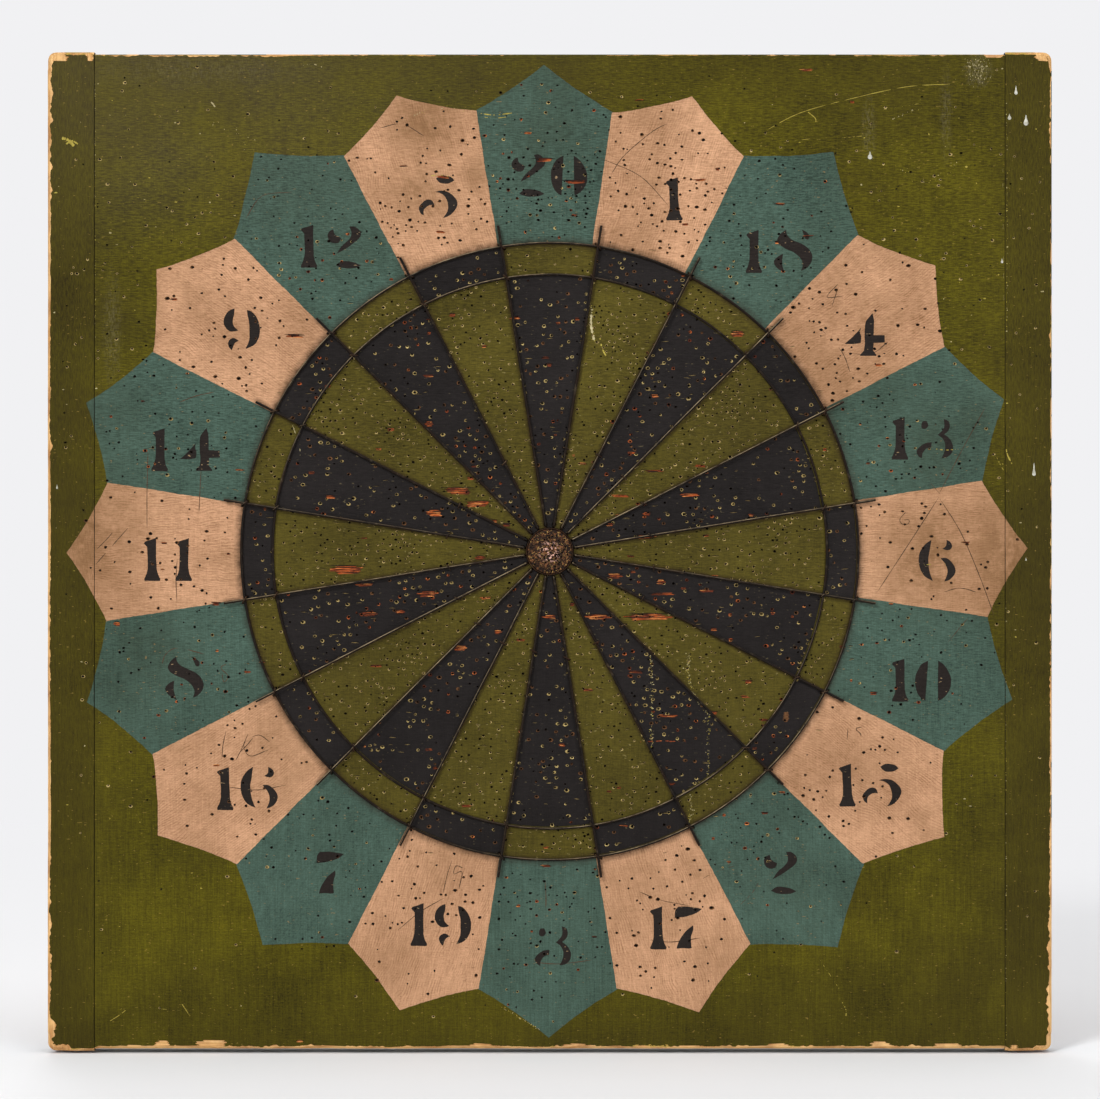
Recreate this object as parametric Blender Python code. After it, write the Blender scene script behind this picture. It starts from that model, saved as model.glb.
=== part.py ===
"""Painted wooden dart board: three matched pine boards between two grooved cleats, a wire spider
stapled to the face, a plugged bull in a metal ferrule and a swinging hanger ring on the back.
Metres, +Z up, face towards -Y, standing on the lower ends of its cleats."""

import math

import bmesh
import bpy
from mathutils import Matrix, Vector

# Panel and cleats
BOARD_NAMES = ("bottom_board", "middle_board", "top_board")
BOARD_FACE = 0.1825
PANEL_LENGTH = 0.5015
THICKNESS = 0.019
CLEAT_WIDTH = 0.0257
CLEAT_OVERHANG = 0.0012
CORNER_RADIUS = 0.0045
EDGE_EASE = 0.0010
END_TONGUE_THICKNESS = 0.0064
END_TONGUE_LENGTH = 0.010
EDGE_TONGUE_THICKNESS = 0.0060
EDGE_TONGUE_DEPTH = 0.0055
JOINT_GAP = 0.0003

# Wire spider
SECTORS = 20
OUTER_RING_RADIUS = 0.170
DOUBLES_BAND = 0.0174
RING_WIRE = 0.0016
RADIAL_WIRE = 0.0016
RADIAL_OVERHANG = 0.0115
ANCHOR_DEPTH = 0.006
ANCHOR_WALL = 0.0008
STAPLE_WIRE = 0.0008
STAPLE_DEPTH = 0.007
CONTACT_GAP = 0.0003

# Bull
BULL_RADIUS = 0.0121
BULL_RISE = 0.0026
BULL_CROWN = 0.0012
BULL_SOCKET = 0.009
FERRULE_WALL = 0.0006
FERRULE_RISE = 0.0024

# Hanger on the back
HANGER_DROP = 0.045
STRAP_WIDTH = 0.0134
STRAP_SHEET = 0.0010
STRAP_END = 0.004
HANGER_WIRE = 0.0025
RING_CORNER = 0.0025
RING_LEG = 0.006
RING_TO_SCREW = 0.0015
SCREW_PITCH = 0.012
SCREW_LENGTH = 0.012
SCREW_SHANK = 0.0026
SCREW_HEAD = 0.0064
SCREW_HEAD_RISE = 0.0018
SCREW_TIP = 0.003
SLOT_WIDTH = 0.0009
SLOT_DEPTH = 0.0009

# Facets
RING_STEPS = 96
TURN_STEPS = 40
HOLE_SIDES = 8
BEND_STEPS = 3
CURL_STEPS = 18
CORNER_STEPS = 5
DOME_STEPS = 4
WIRE_SIDES = 8
STAPLE_SIDES = 6
CUT_MARGIN = 0.002
SMOOTH_ANGLE = math.radians(40)

# Heights and places that follow from the sizes above
panel_height = len(BOARD_NAMES) * BOARD_FACE + (len(BOARD_NAMES) - 1) * JOINT_GAP
cleat_length = panel_height + 2 * CLEAT_OVERHANG
board_pitch = BOARD_FACE + JOINT_GAP
inner_ring_radius = OUTER_RING_RADIUS - DOUBLES_BAND
ring_height = CONTACT_GAP + RING_WIRE / 2
ferrule_inner = BULL_RADIUS + CONTACT_GAP
ferrule_outer = ferrule_inner + FERRULE_WALL
socket_radius = ferrule_outer + CONTACT_GAP
anchor_hole = RADIAL_WIRE / 2 + CONTACT_GAP
anchor_radius = socket_radius + ANCHOR_WALL + anchor_hole
anchor_height = CONTACT_GAP + RADIAL_WIRE / 2
crossing_height = ring_height + RING_WIRE / 2 + CONTACT_GAP + RADIAL_WIRE / 2
radial_slope = (crossing_height - anchor_height) / (inner_ring_radius - anchor_radius)
radial_end = OUTER_RING_RADIUS + RADIAL_OVERHANG


def radial_height(radius):
    """Height of a radial wire's axis above the face: it leans up from its anchor over the rings."""
    return anchor_height + radial_slope * (radius - anchor_radius)


# A staple stands across its crossing on the diagonal, clear of both wires.
staple_reach = (max(RING_WIRE, RADIAL_WIRE) / 2 + CONTACT_GAP + STAPLE_WIRE / 2) * math.sqrt(2)
crown_height = radial_height(OUTER_RING_RADIUS) + (RADIAL_WIRE + STAPLE_WIRE) / 2 + CONTACT_GAP
staple_hole = STAPLE_WIRE / 2 + CONTACT_GAP

eye_inner = HANGER_WIRE / 2 + CONTACT_GAP
eye_outer = eye_inner + STRAP_SHEET
eye_height = CONTACT_GAP + STRAP_SHEET + eye_inner
ring_half = STRAP_WIDTH / 2 + CONTACT_GAP + RING_CORNER
ring_reach = RING_LEG + ring_half + HANGER_WIRE / 2
screw_drops = [ring_reach + RING_TO_SCREW + SCREW_HEAD / 2 + i * SCREW_PITCH for i in range(2)]
strap_length = screw_drops[-1] + SCREW_HEAD / 2 + STRAP_END
screw_seat = CONTACT_GAP + STRAP_SHEET + CONTACT_GAP
screw_hole = SCREW_SHANK / 2 + CONTACT_GAP

front_reach = max(crown_height + STAPLE_WIRE / 2, radial_height(radial_end) + RADIAL_WIRE / 2,
                  BULL_RISE + BULL_CROWN, FERRULE_RISE)
back_reach = max(eye_height + eye_outer, screw_seat + SCREW_HEAD_RISE)
face_y = front_reach - (front_reach + THICKNESS + back_reach) / 2
back_y = face_y + THICKNESS
middle_y = face_y + THICKNESS / 2
dial_centre = Vector((0, face_y, cleat_length / 2))
hanger_pivot = Vector((0, back_y + eye_height, CLEAT_OVERHANG + panel_height - HANGER_DROP))
sector_angles = [(i + 1 / 2) * math.tau / SECTORS for i in range(SECTORS)]


def clear_scene():
    for old in list(bpy.data.objects):
        bpy.data.objects.remove(old, do_unlink=True)


def make_material(name, colour, roughness, metallic=0.0):
    material = bpy.data.materials.new(name)
    material.use_nodes = True
    shader = material.node_tree.nodes["Principled BSDF"]
    shader.inputs["Base Color"].default_value = (*colour, 1)
    shader.inputs["Roughness"].default_value = roughness
    shader.inputs["Metallic"].default_value = metallic
    return material


def place(name, data, material, parent=None):
    """Links new data as a named object, under its parent if it has one."""
    piece = bpy.data.objects.new(name, data)
    bpy.context.collection.objects.link(piece)
    if material and not data.materials:
        data.materials.append(material)
    piece.parent = parent
    return piece


def make_piece(name, bm, material, parent=None):
    """Turns a closed bmesh into a named object with outward faces, smooth but for its arrises."""
    bmesh.ops.recalc_face_normals(bm, faces=bm.faces)
    mesh = bpy.data.meshes.new(name)
    bm.to_mesh(mesh)
    bm.free()
    mesh.shade_smooth()
    mesh.set_sharp_from_angle(angle=SMOOTH_ANGLE)
    return place(name, mesh, material, parent)


def arc(centre, radius, start, end, steps):
    """Points on an arc of the plane, from one angle to another."""
    angles = [start + (end - start) * i / steps for i in range(steps + 1)]
    return [(centre[0] + radius * math.cos(a), centre[1] + radius * math.sin(a)) for a in angles]


def extruded(outline, to_point, way):
    """A prism: the outline's points, placed by to_point, swept along way."""
    bm = bmesh.new()
    face = bm.faces.new([bm.verts.new(to_point(*p)) for p in outline])
    swept = bmesh.ops.extrude_face_region(bm, geom=[face])["geom"]
    bmesh.ops.translate(bm, vec=way, verts=[v for v in swept if isinstance(v, bmesh.types.BMVert)])
    return bm


def add_box(bm, low, high):
    low, high = Vector(low), Vector(high)
    size = Matrix.Diagonal((*(high - low), 1))
    bmesh.ops.create_cube(bm, size=1, matrix=Matrix.Translation((low + high) / 2) @ size)


def add_drill(bm, x, z, radius, y_from, y_to):
    """A hole's cutter along Y, wide enough for a round of this radius to pass its flats."""
    at = Matrix.Translation((x, (y_from + y_to) / 2, z)) @ Matrix.Rotation(math.pi / 2, 4, "X")
    wide = radius / math.cos(math.pi / HOLE_SIDES)
    bmesh.ops.create_cone(bm, cap_ends=True, segments=HOLE_SIDES, radius1=wide, radius2=wide,
                          depth=abs(y_to - y_from), matrix=at)


def turned(profile, closed=False):
    """A solid of revolution about Z from (radius, height) points."""
    bm = bmesh.new()
    points = [bm.verts.new((radius, 0, height)) for radius, height in profile]
    edges = [bm.edges.new(pair) for pair in zip(points, points[1:])]
    if closed:
        edges.append(bm.edges.new((points[-1], points[0])))
    bmesh.ops.spin(bm, geom=points + edges, cent=(0, 0, 0), axis=(0, 0, 1), angle=math.tau,
                   steps=TURN_STEPS, use_merge=True)
    bmesh.ops.remove_doubles(bm, verts=bm.verts, dist=CONTACT_GAP / 100)
    return bm


def wire_curve(name, points, diameter, sides, closed=False):
    """A round wire of this many sides along the points."""
    curve = bpy.data.curves.new(name, "CURVE")
    curve.dimensions = "3D"
    curve.bevel_depth = diameter / 2
    curve.bevel_resolution = sides // 2 - 2
    curve.use_fill_caps = True
    spline = curve.splines.new("POLY")
    spline.points.add(len(points) - 1)
    for point, at in zip(spline.points, points):
        point.co = (*at, 1)
    spline.use_cyclic_u = closed
    return curve


def make_cutter(name, bm):
    cutter = make_piece(name, bm, None)
    cutter.hide_render = True
    cutter.display_type = "WIRE"
    return cutter


def cut(piece, cutter):
    boolean = piece.modifiers.new(cutter.name, "BOOLEAN")
    boolean.operation = "DIFFERENCE"
    boolean.solver = "EXACT"
    boolean.object = cutter


def board_outline(has_groove, has_tongue):
    """Cross-section of a board in Y and Z from its lower edge, eased where the edge is outermost."""
    front, back = -THICKNESS / 2, THICKNESS / 2
    tongue = EDGE_TONGUE_THICKNESS / 2
    groove = tongue + JOINT_GAP
    depth = EDGE_TONGUE_DEPTH + JOINT_GAP
    if has_groove:
        lower = [(front, 0), (-groove, 0), (-groove, depth), (groove, depth), (groove, 0), (back, 0)]
    else:
        lower = arc((front + EDGE_EASE, EDGE_EASE), EDGE_EASE, math.pi, 3 * math.pi / 2, BEND_STEPS)
        lower += arc((back - EDGE_EASE, EDGE_EASE), EDGE_EASE, -math.pi / 2, 0, BEND_STEPS)
    if has_tongue:
        top = BOARD_FACE + EDGE_TONGUE_DEPTH
        upper = [(back, BOARD_FACE), (tongue, BOARD_FACE), (tongue, top), (-tongue, top),
                 (-tongue, BOARD_FACE), (front, BOARD_FACE)]
    else:
        level = BOARD_FACE - EDGE_EASE
        upper = arc((back - EDGE_EASE, level), EDGE_EASE, 0, math.pi / 2, BEND_STEPS)
        upper += arc((front + EDGE_EASE, level), EDGE_EASE, math.pi / 2, math.pi, BEND_STEPS)
    return lower + upper


def make_boards(paint):
    """The panel's boards, matched edge to edge, with a tongue on each end for the cleats."""
    length = PANEL_LENGTH + 2 * END_TONGUE_LENGTH
    cheeks = bmesh.new()
    for side in (-1, 1):
        ends = sorted((side * PANEL_LENGTH / 2, side * (length / 2 + CUT_MARGIN)))
        for y_from, y_to in ((face_y - CUT_MARGIN, middle_y - END_TONGUE_THICKNESS / 2),
                             (middle_y + END_TONGUE_THICKNESS / 2, back_y + CUT_MARGIN)):
            add_box(cheeks, (ends[0], y_from, -CUT_MARGIN),
                    (ends[1], y_to, cleat_length + CUT_MARGIN))
    cheek_cutter = make_cutter("end_cheeks_cutter", cheeks)
    boards = []
    for i, name in enumerate(BOARD_NAMES):
        outline = board_outline(has_groove=i > 0, has_tongue=i < len(BOARD_NAMES) - 1)
        bm = extruded(outline, lambda y, z: (-length / 2, y, z), (length, 0, 0))
        board = make_piece(name, bm, paint)
        board.location = (0, middle_y, CLEAT_OVERHANG + i * board_pitch)
        cut(board, cheek_cutter)
        boards.append(board)
    return boards


def make_cleat(name, side, paint):
    """A cleat: round outer corners, eased edges and a groove along its inner side."""
    inner, outer = PANEL_LENGTH / 2 + JOINT_GAP, PANEL_LENGTH / 2 + JOINT_GAP + CLEAT_WIDTH
    corner = outer - CORNER_RADIUS
    outline = [(inner, 0)]
    outline += arc((corner, CORNER_RADIUS), CORNER_RADIUS, -math.pi / 2, 0, CORNER_STEPS)
    outline += arc((corner, cleat_length - CORNER_RADIUS), CORNER_RADIUS, 0, math.pi / 2,
                   CORNER_STEPS)
    outline += [(inner, cleat_length)]
    bm = extruded(outline, lambda x, z: (side * x, face_y, z), (0, THICKNESS, 0))
    at_joint = side * inner
    rim = [e for e in bm.edges
           if abs(e.verts[0].co.y - e.verts[1].co.y) < CONTACT_GAP
           and any(abs(v.co.x - at_joint) > CONTACT_GAP for v in e.verts)]
    bmesh.ops.bevel(bm, geom=rim, offset=EDGE_EASE, offset_type="OFFSET", segments=BEND_STEPS,
                    profile=0.5, affect="EDGES", clamp_overlap=True)
    cleat = make_piece(name, bm, paint)
    half = END_TONGUE_THICKNESS / 2 + JOINT_GAP
    floor = inner + END_TONGUE_LENGTH + JOINT_GAP
    reach = sorted((side * (inner - CUT_MARGIN), side * floor))
    groove = bmesh.new()
    add_box(groove, (reach[0], middle_y - half, -CUT_MARGIN),
            (reach[1], middle_y + half, cleat_length + CUT_MARGIN))
    cut(cleat, make_cutter(name + "_groove_cutter", groove))
    return cleat


def make_rings(metal):
    radii = {"outer_ring_wire": OUTER_RING_RADIUS, "inner_ring_wire": inner_ring_radius}
    for name, radius in radii.items():
        turn = [math.tau * i / RING_STEPS for i in range(RING_STEPS)]
        points = [(radius * math.sin(a), -ring_height, radius * math.cos(a)) for a in turn]
        ring = place(name, wire_curve(name, points, RING_WIRE, WIRE_SIDES, closed=True), metal)
        ring.location = dial_centre


def make_radials(metal):
    """Straight wires from the bull outwards: the inner end turns down into the wood, the other is free."""
    bend = arc((anchor_radius + anchor_height, 0), anchor_height, math.pi, math.pi / 2, BEND_STEPS)
    path = [(anchor_radius, -ANCHOR_DEPTH)] + bend + [(radial_end, radial_height(radial_end))]
    points = [(0, -height, radius) for radius, height in path]
    curve = wire_curve("radial_wire", points, RADIAL_WIRE, WIRE_SIDES)
    for i, angle in enumerate(sector_angles):
        wire = place(f"radial_wire_{i + 1:02d}", curve, metal)
        wire.location = dial_centre
        wire.rotation_euler = (0, angle, 0)


def staple_feet():
    """Both feet of a staple at the top of the dial, in X and Z: outside left to inside right."""
    along = staple_reach / math.sqrt(2)
    return [(-along, OUTER_RING_RADIUS + along), (along, OUTER_RING_RADIUS - along)]


def make_staples(metal):
    (x0, z0), (x1, z1) = staple_feet()
    bend = STAPLE_WIRE
    middle = Vector(((x0 + x1) / 2, 0, (z0 + z1) / 2))
    way = Vector((x1 - x0, 0, z1 - z0)).normalized()
    shoulder = arc((staple_reach - bend, crown_height - bend), bend, 0, math.pi / 2, BEND_STEPS - 1)
    half = [(staple_reach, -STAPLE_DEPTH)] + shoulder
    path = half + [(-along, height) for along, height in reversed(half)]
    points = [middle + along * way - height * Vector((0, 1, 0)) for along, height in path]
    curve = wire_curve("ring_staple", points, STAPLE_WIRE, STAPLE_SIDES)
    for i, angle in enumerate(sector_angles):
        staple = place(f"ring_staple_{i + 1:02d}", curve, metal)
        staple.location = dial_centre
        staple.rotation_euler = (0, angle, 0)


def make_bull(cork, metal):
    floor = CONTACT_GAP - BULL_SOCKET
    steps = range(DOME_STEPS + 1)
    dome = [(BULL_RADIUS * math.cos(a), BULL_RISE + BULL_CROWN * math.sin(a))
            for a in (math.pi / 2 * i / DOME_STEPS for i in steps)]
    plug = make_piece("bull_plug", turned([(0, floor), (BULL_RADIUS, floor)] + dome), cork)
    band = [(ferrule_inner, floor), (ferrule_outer, floor), (ferrule_outer, FERRULE_RISE),
            (ferrule_inner, FERRULE_RISE)]
    ferrule = make_piece("bull_ferrule", turned(band, closed=True), metal)
    for piece in (plug, ferrule):
        piece.location = dial_centre
        piece.rotation_euler = (math.pi / 2, 0, 0)


def drill_face(boards):
    """Holes in the face for the bull, the radial wires' inner ends and the staples' feet."""
    holes = bmesh.new()
    centre_z = dial_centre.z
    outside = face_y - CUT_MARGIN
    for angle in sector_angles:
        turn = Matrix.Rotation(angle, 3, "Y")
        for x, z in staple_feet():
            at = turn @ Vector((x, 0, z))
            add_drill(holes, at.x, centre_z + at.z, staple_hole, outside,
                      face_y + STAPLE_DEPTH + CONTACT_GAP)
        at = turn @ Vector((0, 0, anchor_radius))
        add_drill(holes, at.x, centre_z + at.z, anchor_hole, outside,
                  face_y + ANCHOR_DEPTH + CONTACT_GAP)
    cutter = make_cutter("face_holes_cutter", holes)
    depth = CUT_MARGIN + BULL_SOCKET
    wide = socket_radius / math.cos(math.pi / TURN_STEPS)
    socket = bmesh.new()
    at = Matrix.Translation((0, outside + depth / 2, centre_z)) @ Matrix.Rotation(math.pi / 2, 4, "X")
    bmesh.ops.create_cone(socket, cap_ends=True, segments=TURN_STEPS, radius1=wide, radius2=wide,
                          depth=depth, matrix=at)
    socket_cutter = make_cutter("bull_socket_cutter", socket)
    for board in boards:
        cut(board, cutter)
        cut(board, socket_cutter)


def strap_outline():
    """Section of the strap, outwards from the back and upwards from the pivot, curled round the bar."""
    centre = (STRAP_SHEET + eye_inner, 0)
    tip = -math.acos((CONTACT_GAP - eye_inner) / eye_outer)
    outside = arc(centre, eye_outer, math.pi, tip, CURL_STEPS)
    inside = arc(centre, eye_inner, tip, math.pi, CURL_STEPS)
    return [(0, -strap_length)] + outside + inside + [(STRAP_SHEET, -strap_length)]


def ring_path():
    """The hanger ring in X and Z: a straight bar on the pivot, round corners and a half round below."""
    corner = arc((ring_half - RING_CORNER, -RING_CORNER), RING_CORNER, math.pi / 2, 0, CORNER_STEPS)
    bow = arc((0, -RING_LEG), ring_half, 0, -math.pi, CURL_STEPS)
    other = [(-x, z) for x, z in reversed(corner)]
    return corner + bow + other


def make_screw(name, drop, metal, pivot):
    """A round-headed wood screw through the strap, its slot across the strap."""
    head = [(SCREW_HEAD / 2 * math.cos(a), SCREW_HEAD_RISE * math.sin(a))
            for a in (math.pi / 2 * i / DOME_STEPS for i in range(DOME_STEPS + 1))]
    shank = SCREW_SHANK / 2
    profile = [(0, -SCREW_LENGTH), (shank, SCREW_TIP - SCREW_LENGTH), (shank, 0)] + head
    screw = make_piece(name, turned(profile), metal, pivot)
    screw.location = (0, screw_seat - eye_height, -drop)
    screw.rotation_euler = (-math.pi / 2, 0, 0)
    slot = bmesh.new()
    add_box(slot, (-SCREW_HEAD, -SLOT_WIDTH / 2, SCREW_HEAD_RISE - SLOT_DEPTH),
            (SCREW_HEAD, SLOT_WIDTH / 2, SCREW_HEAD_RISE + CUT_MARGIN))
    cutter = make_cutter(name + "_slot_cutter", slot)
    cutter.parent = screw
    cut(screw, cutter)


def make_hanger(boards, metal):
    """Strap, swinging ring and screws on the back, placed from an empty on the ring's pivot."""
    pivot = bpy.data.objects.new("hanger_pivot", None)
    bpy.context.collection.objects.link(pivot)
    pivot.location = hanger_pivot
    strap_bm = extruded(strap_outline(), lambda y, z: (-STRAP_WIDTH / 2, y, z), (STRAP_WIDTH, 0, 0))
    strap = make_piece("hanger_strap", strap_bm, metal, pivot)
    strap.location = (0, CONTACT_GAP - eye_height, 0)
    points = [(x, 0, z) for x, z in ring_path()]
    place("hanger_ring", wire_curve("hanger_ring", points, HANGER_WIRE, WIRE_SIDES, closed=True),
          metal, pivot)
    holes = bmesh.new()
    for name, drop in zip(("hanger_screw_upper", "hanger_screw_lower"), screw_drops):
        make_screw(name, drop, metal, pivot)
        add_drill(holes, 0, hanger_pivot.z - drop, screw_hole,
                  back_y + screw_seat - SCREW_LENGTH - CONTACT_GAP, back_y + screw_seat + CUT_MARGIN)
    cutter = make_cutter("screw_holes_cutter", holes)
    for piece in boards + [strap]:
        cut(piece, cutter)


def main():
    clear_scene()
    green_paint = make_material("green_paint", (0.075, 0.062, 0.012), 0.6)
    cork = make_material("bull_cork", (0.22, 0.12, 0.05), 0.85)
    wire_metal = make_material("rusty_wire", (0.14, 0.10, 0.08), 0.5, 0.9)
    staple_metal = make_material("staple_steel", (0.42, 0.40, 0.38), 0.4, 1.0)
    hanger_metal = make_material("hanger_steel", (0.30, 0.26, 0.20), 0.45, 1.0)
    boards = make_boards(green_paint)
    make_cleat("left_cleat", -1, green_paint)
    make_cleat("right_cleat", 1, green_paint)
    drill_face(boards)
    make_bull(cork, wire_metal)
    make_rings(wire_metal)
    make_radials(wire_metal)
    make_staples(staple_metal)
    make_hanger(boards, hanger_metal)


main()
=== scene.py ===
"""An old wooden dart board, painted by hand and much used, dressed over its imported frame.

The boards are worked over as the painter and years of darts left them: the colours lie in regions let
into the face, the numbers are stencilled over them, and dart holes, splinters and rubbed edges are cut
through to the wood. Places on the face are read from a sketch of it, 1100 units wide, from the top left.
"""

import math
import random

import bmesh
import bpy
from mathutils import Matrix, Vector, geometry, noise


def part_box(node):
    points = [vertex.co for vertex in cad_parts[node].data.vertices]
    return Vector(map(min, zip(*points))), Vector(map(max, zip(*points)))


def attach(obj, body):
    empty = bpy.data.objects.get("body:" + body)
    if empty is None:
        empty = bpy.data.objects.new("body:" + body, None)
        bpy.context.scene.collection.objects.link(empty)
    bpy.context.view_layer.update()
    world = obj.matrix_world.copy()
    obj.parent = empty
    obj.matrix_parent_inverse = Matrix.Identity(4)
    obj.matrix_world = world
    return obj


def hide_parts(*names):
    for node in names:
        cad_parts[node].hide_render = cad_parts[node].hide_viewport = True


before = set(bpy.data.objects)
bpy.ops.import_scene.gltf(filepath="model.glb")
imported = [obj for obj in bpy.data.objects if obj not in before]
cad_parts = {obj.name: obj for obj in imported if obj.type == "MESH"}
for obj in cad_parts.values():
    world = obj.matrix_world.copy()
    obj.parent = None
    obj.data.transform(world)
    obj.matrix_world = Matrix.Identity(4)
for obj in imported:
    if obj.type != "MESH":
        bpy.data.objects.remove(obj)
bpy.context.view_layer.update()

MM = 0.001
UNIT = 0.55105 * MM
SKETCH_SIZE = (1100, 1099)
SKETCH_MIDDLE = (549.75, 551.5)
FRONT = Vector((0, -1, 0))

WOODS = ("left_cleat", "right_cleat", "top_board", "middle_board", "bottom_board")
face_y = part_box("left_cleat")[0].y
back_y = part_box("left_cleat")[1].y
half_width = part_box("right_cleat")[1].x
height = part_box("left_cleat")[1].z
cleat_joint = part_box("right_cleat")[0].x
panel_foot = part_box("bottom_board")[0].z
panel_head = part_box("top_board")[1].z
board_joints = (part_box("middle_board")[0].z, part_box("top_board")[0].z)
middle_z = height / 2
dial_centre = Vector((0, face_y, middle_z))

# The painter's own centres and turn, a little off the wires', and the reach of the colours in sketch units
PAINT_CENTRE = (546.6, 550.6)
DIAL_CENTRE = (549.2, 551.2)
PAINT_TURN = -0.25
SECTORS = 20
SECTOR = 18
DIAL_REACH = 308.5
BAND_INNER = 277.5
BAND_LINE = 275
WEDGE_REACH = 275.5
WEDGE_FOOT = 9
PETAL_FOOT = 285
PETAL_HOLLOW = 7
WAIST_REACH = 444
TIP_REACH = (486, 477, 491, 482, 482, 481, 489, 490, 492, 486, 487, 483, 486, 482, 484, 480, 483, 481, 494, 479)
NUMBERS = (20, 1, 18, 4, 13, 6, 10, 15, 2, 17, 3, 19, 7, 16, 8, 11, 14, 9, 12, 5)
NUMBER_SPOTS = ((549, 176), (674, 199), (779, 251), (865, 335), (922, 438), (937, 560), (920, 680), (870, 785),
                (780, 872), (672, 928), (553, 946), (441, 925), (330, 872), (247, 788), (184, 678), (167, 559),
                (184, 450), (242, 330), (331, 247), (438, 197))

# Depth of each layer below the face; the later ones are cut last
TEAL_DEPTH = 0.02 * MM
PINK_DEPTH = 0.03 * MM
DIAL_DEPTH = 0.04 * MM
BLACK_DEPTH = 0.05 * MM
PENCIL_DEPTH = 0.07 * MM
NUMBER_DEPTH = 0.09 * MM

FINISHES = ("field_green", "edge_green", "bare_back", "end_grain", "petal_teal", "petal_pink", "dial_green",
            "dial_black", "number_black", "pencil", "rubbed_edge", "splinter", "hole_rim", "hole_stain", "hole_dark",
            "scratch", "scuff")


def finish_index(name):
    return FINISHES.index(name)


def spot(across, down):
    """A place on the face, in X and Z, from its place on the sketch."""
    return (across - SKETCH_MIDDLE[0]) * UNIT, middle_z + (SKETCH_MIDDLE[1] - down) * UNIT


def on_face(across, down):
    """The same place as a point on the surface."""
    x, z = spot(across, down)
    return x, face_y, z


def painted(angle, reach, centre=PAINT_CENTRE):
    """A place on the face from a painter's centre: degrees clockwise from the top, and units out."""
    turn = math.radians(angle + PAINT_TURN)
    return spot(centre[0] + reach * math.sin(turn), centre[1] - reach * math.cos(turn))


# ---------------------------------------------------------------- mesh helpers

def make_piece(name, bm, materials, smooth=None):
    bmesh.ops.recalc_face_normals(bm, faces=bm.faces[:])
    mesh = bpy.data.meshes.new(name)
    bm.to_mesh(mesh)
    bm.free()
    for material in materials:
        mesh.materials.append(material)
    if smooth is not None:
        mesh.shade_smooth()
        mesh.set_sharp_from_angle(angle=math.radians(smooth))
    piece = bpy.data.objects.new(name, mesh)
    bpy.context.scene.collection.objects.link(piece)
    return piece


def new_verts(result):
    return [item for item in result["geom"] if isinstance(item, bmesh.types.BMVert)]


def add_prism(bm, outline, depth, finish, proud=0.4 * MM):
    """A flat outline on the face, drawn down into the wood to a depth."""
    cap = bm.faces.new([bm.verts.new((x, face_y - proud, z)) for x, z in outline])
    result = bmesh.ops.extrude_face_region(bm, geom=[cap])
    verts = new_verts(result)
    bmesh.ops.translate(bm, verts=verts, vec=(0, proud + depth, 0))
    for face in {face for vert in verts for face in vert.link_faces}:
        face.material_index = finish_index(finish)


def sweep(bm, frames, sides, closed=False):
    """Carries a regular section along the frames, whose X and Y axes span it, and caps or joins its ends."""
    verts = bmesh.ops.create_circle(bm, segments=sides, radius=1, matrix=frames[0])["verts"]
    first = rim = list(dict.fromkeys(edge for vert in verts for edge in vert.link_edges))
    for before, after in zip(frames, frames[1:]):
        result = bmesh.ops.extrude_edge_only(bm, edges=rim)
        verts = new_verts(result)
        ring = set(verts)
        rim = [edge for edge in result["geom"] if isinstance(edge, bmesh.types.BMEdge)
               and edge.verts[0] in ring and edge.verts[1] in ring]
        bmesh.ops.transform(bm, matrix=after @ before.inverted(), verts=verts)
    if closed:
        bmesh.ops.bridge_loops(bm, edges=first + rim)
    else:
        bmesh.ops.edgeloop_fill(bm, edges=first)
        bmesh.ops.edgeloop_fill(bm, edges=rim)


def wire_frames(points, side, radius, closed=False):
    """Frames for a wire of that radius along a path that lies about square to side."""
    frames = []
    for i, point in enumerate(points):
        last = points[i - 1] if closed or i else point
        following = points[(i + 1) % len(points)] if closed or i + 1 < len(points) else point
        along = (following - last).normalized()
        across = side(i) if callable(side) else side
        up = along.cross(across).normalized()
        across = up.cross(along)
        axes = Matrix((across * radius, up * radius, along * radius)).transposed().to_4x4()
        frames.append(Matrix.Translation(point) @ axes)
    return frames


def carve(piece, cutter):
    """Cuts the cutter out of a piece; the cut faces keep the cutter's finish."""
    tool = make_piece("cutter", cutter, piece.data.materials)
    cut = piece.modifiers.new("carve", "BOOLEAN")
    cut.object = tool
    cut.operation = "DIFFERENCE"
    cut.solver = "MANIFOLD"
    cut.material_mode = "INDEX"
    depsgraph = bpy.context.evaluated_depsgraph_get()
    mesh = bpy.data.meshes.new_from_object(piece.evaluated_get(depsgraph))
    piece.modifiers.clear()
    piece.data = mesh
    bpy.data.objects.remove(tool)


def gather(add, items, lot=50):
    """One mesh with the shape that add makes of each item, put together from small lots."""
    whole = bmesh.new()
    for start in range(0, len(items), lot):
        part = bmesh.new()
        for item in items[start:start + lot]:
            add(part, *item)
        mesh = bpy.data.meshes.new("lot")
        part.to_mesh(mesh)
        part.free()
        whole.from_mesh(mesh)
        bpy.data.meshes.remove(mesh)
    return whole


def batches(marks):
    """Sorts outlines into lots that can be cut together, because no two in a lot come near each other."""
    lots = []
    for mark in marks:
        xs, zs = zip(*mark[0])
        box = (min(xs), max(xs), min(zs), max(zs))
        for lot, boxes in lots:
            if all(box[0] > b[1] or box[1] < b[0] or box[2] > b[3] or box[3] < b[2] for b in boxes):
                lot.append(mark)
                boxes.append(box)
                break
        else:
            lots.append(([mark], [box]))
    return [lot for lot, boxes in lots]


def quarter(steps):
    """Angles through a quarter turn, both ends counted."""
    return [math.pi / 2 * i / steps for i in range(steps + 1)]


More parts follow.
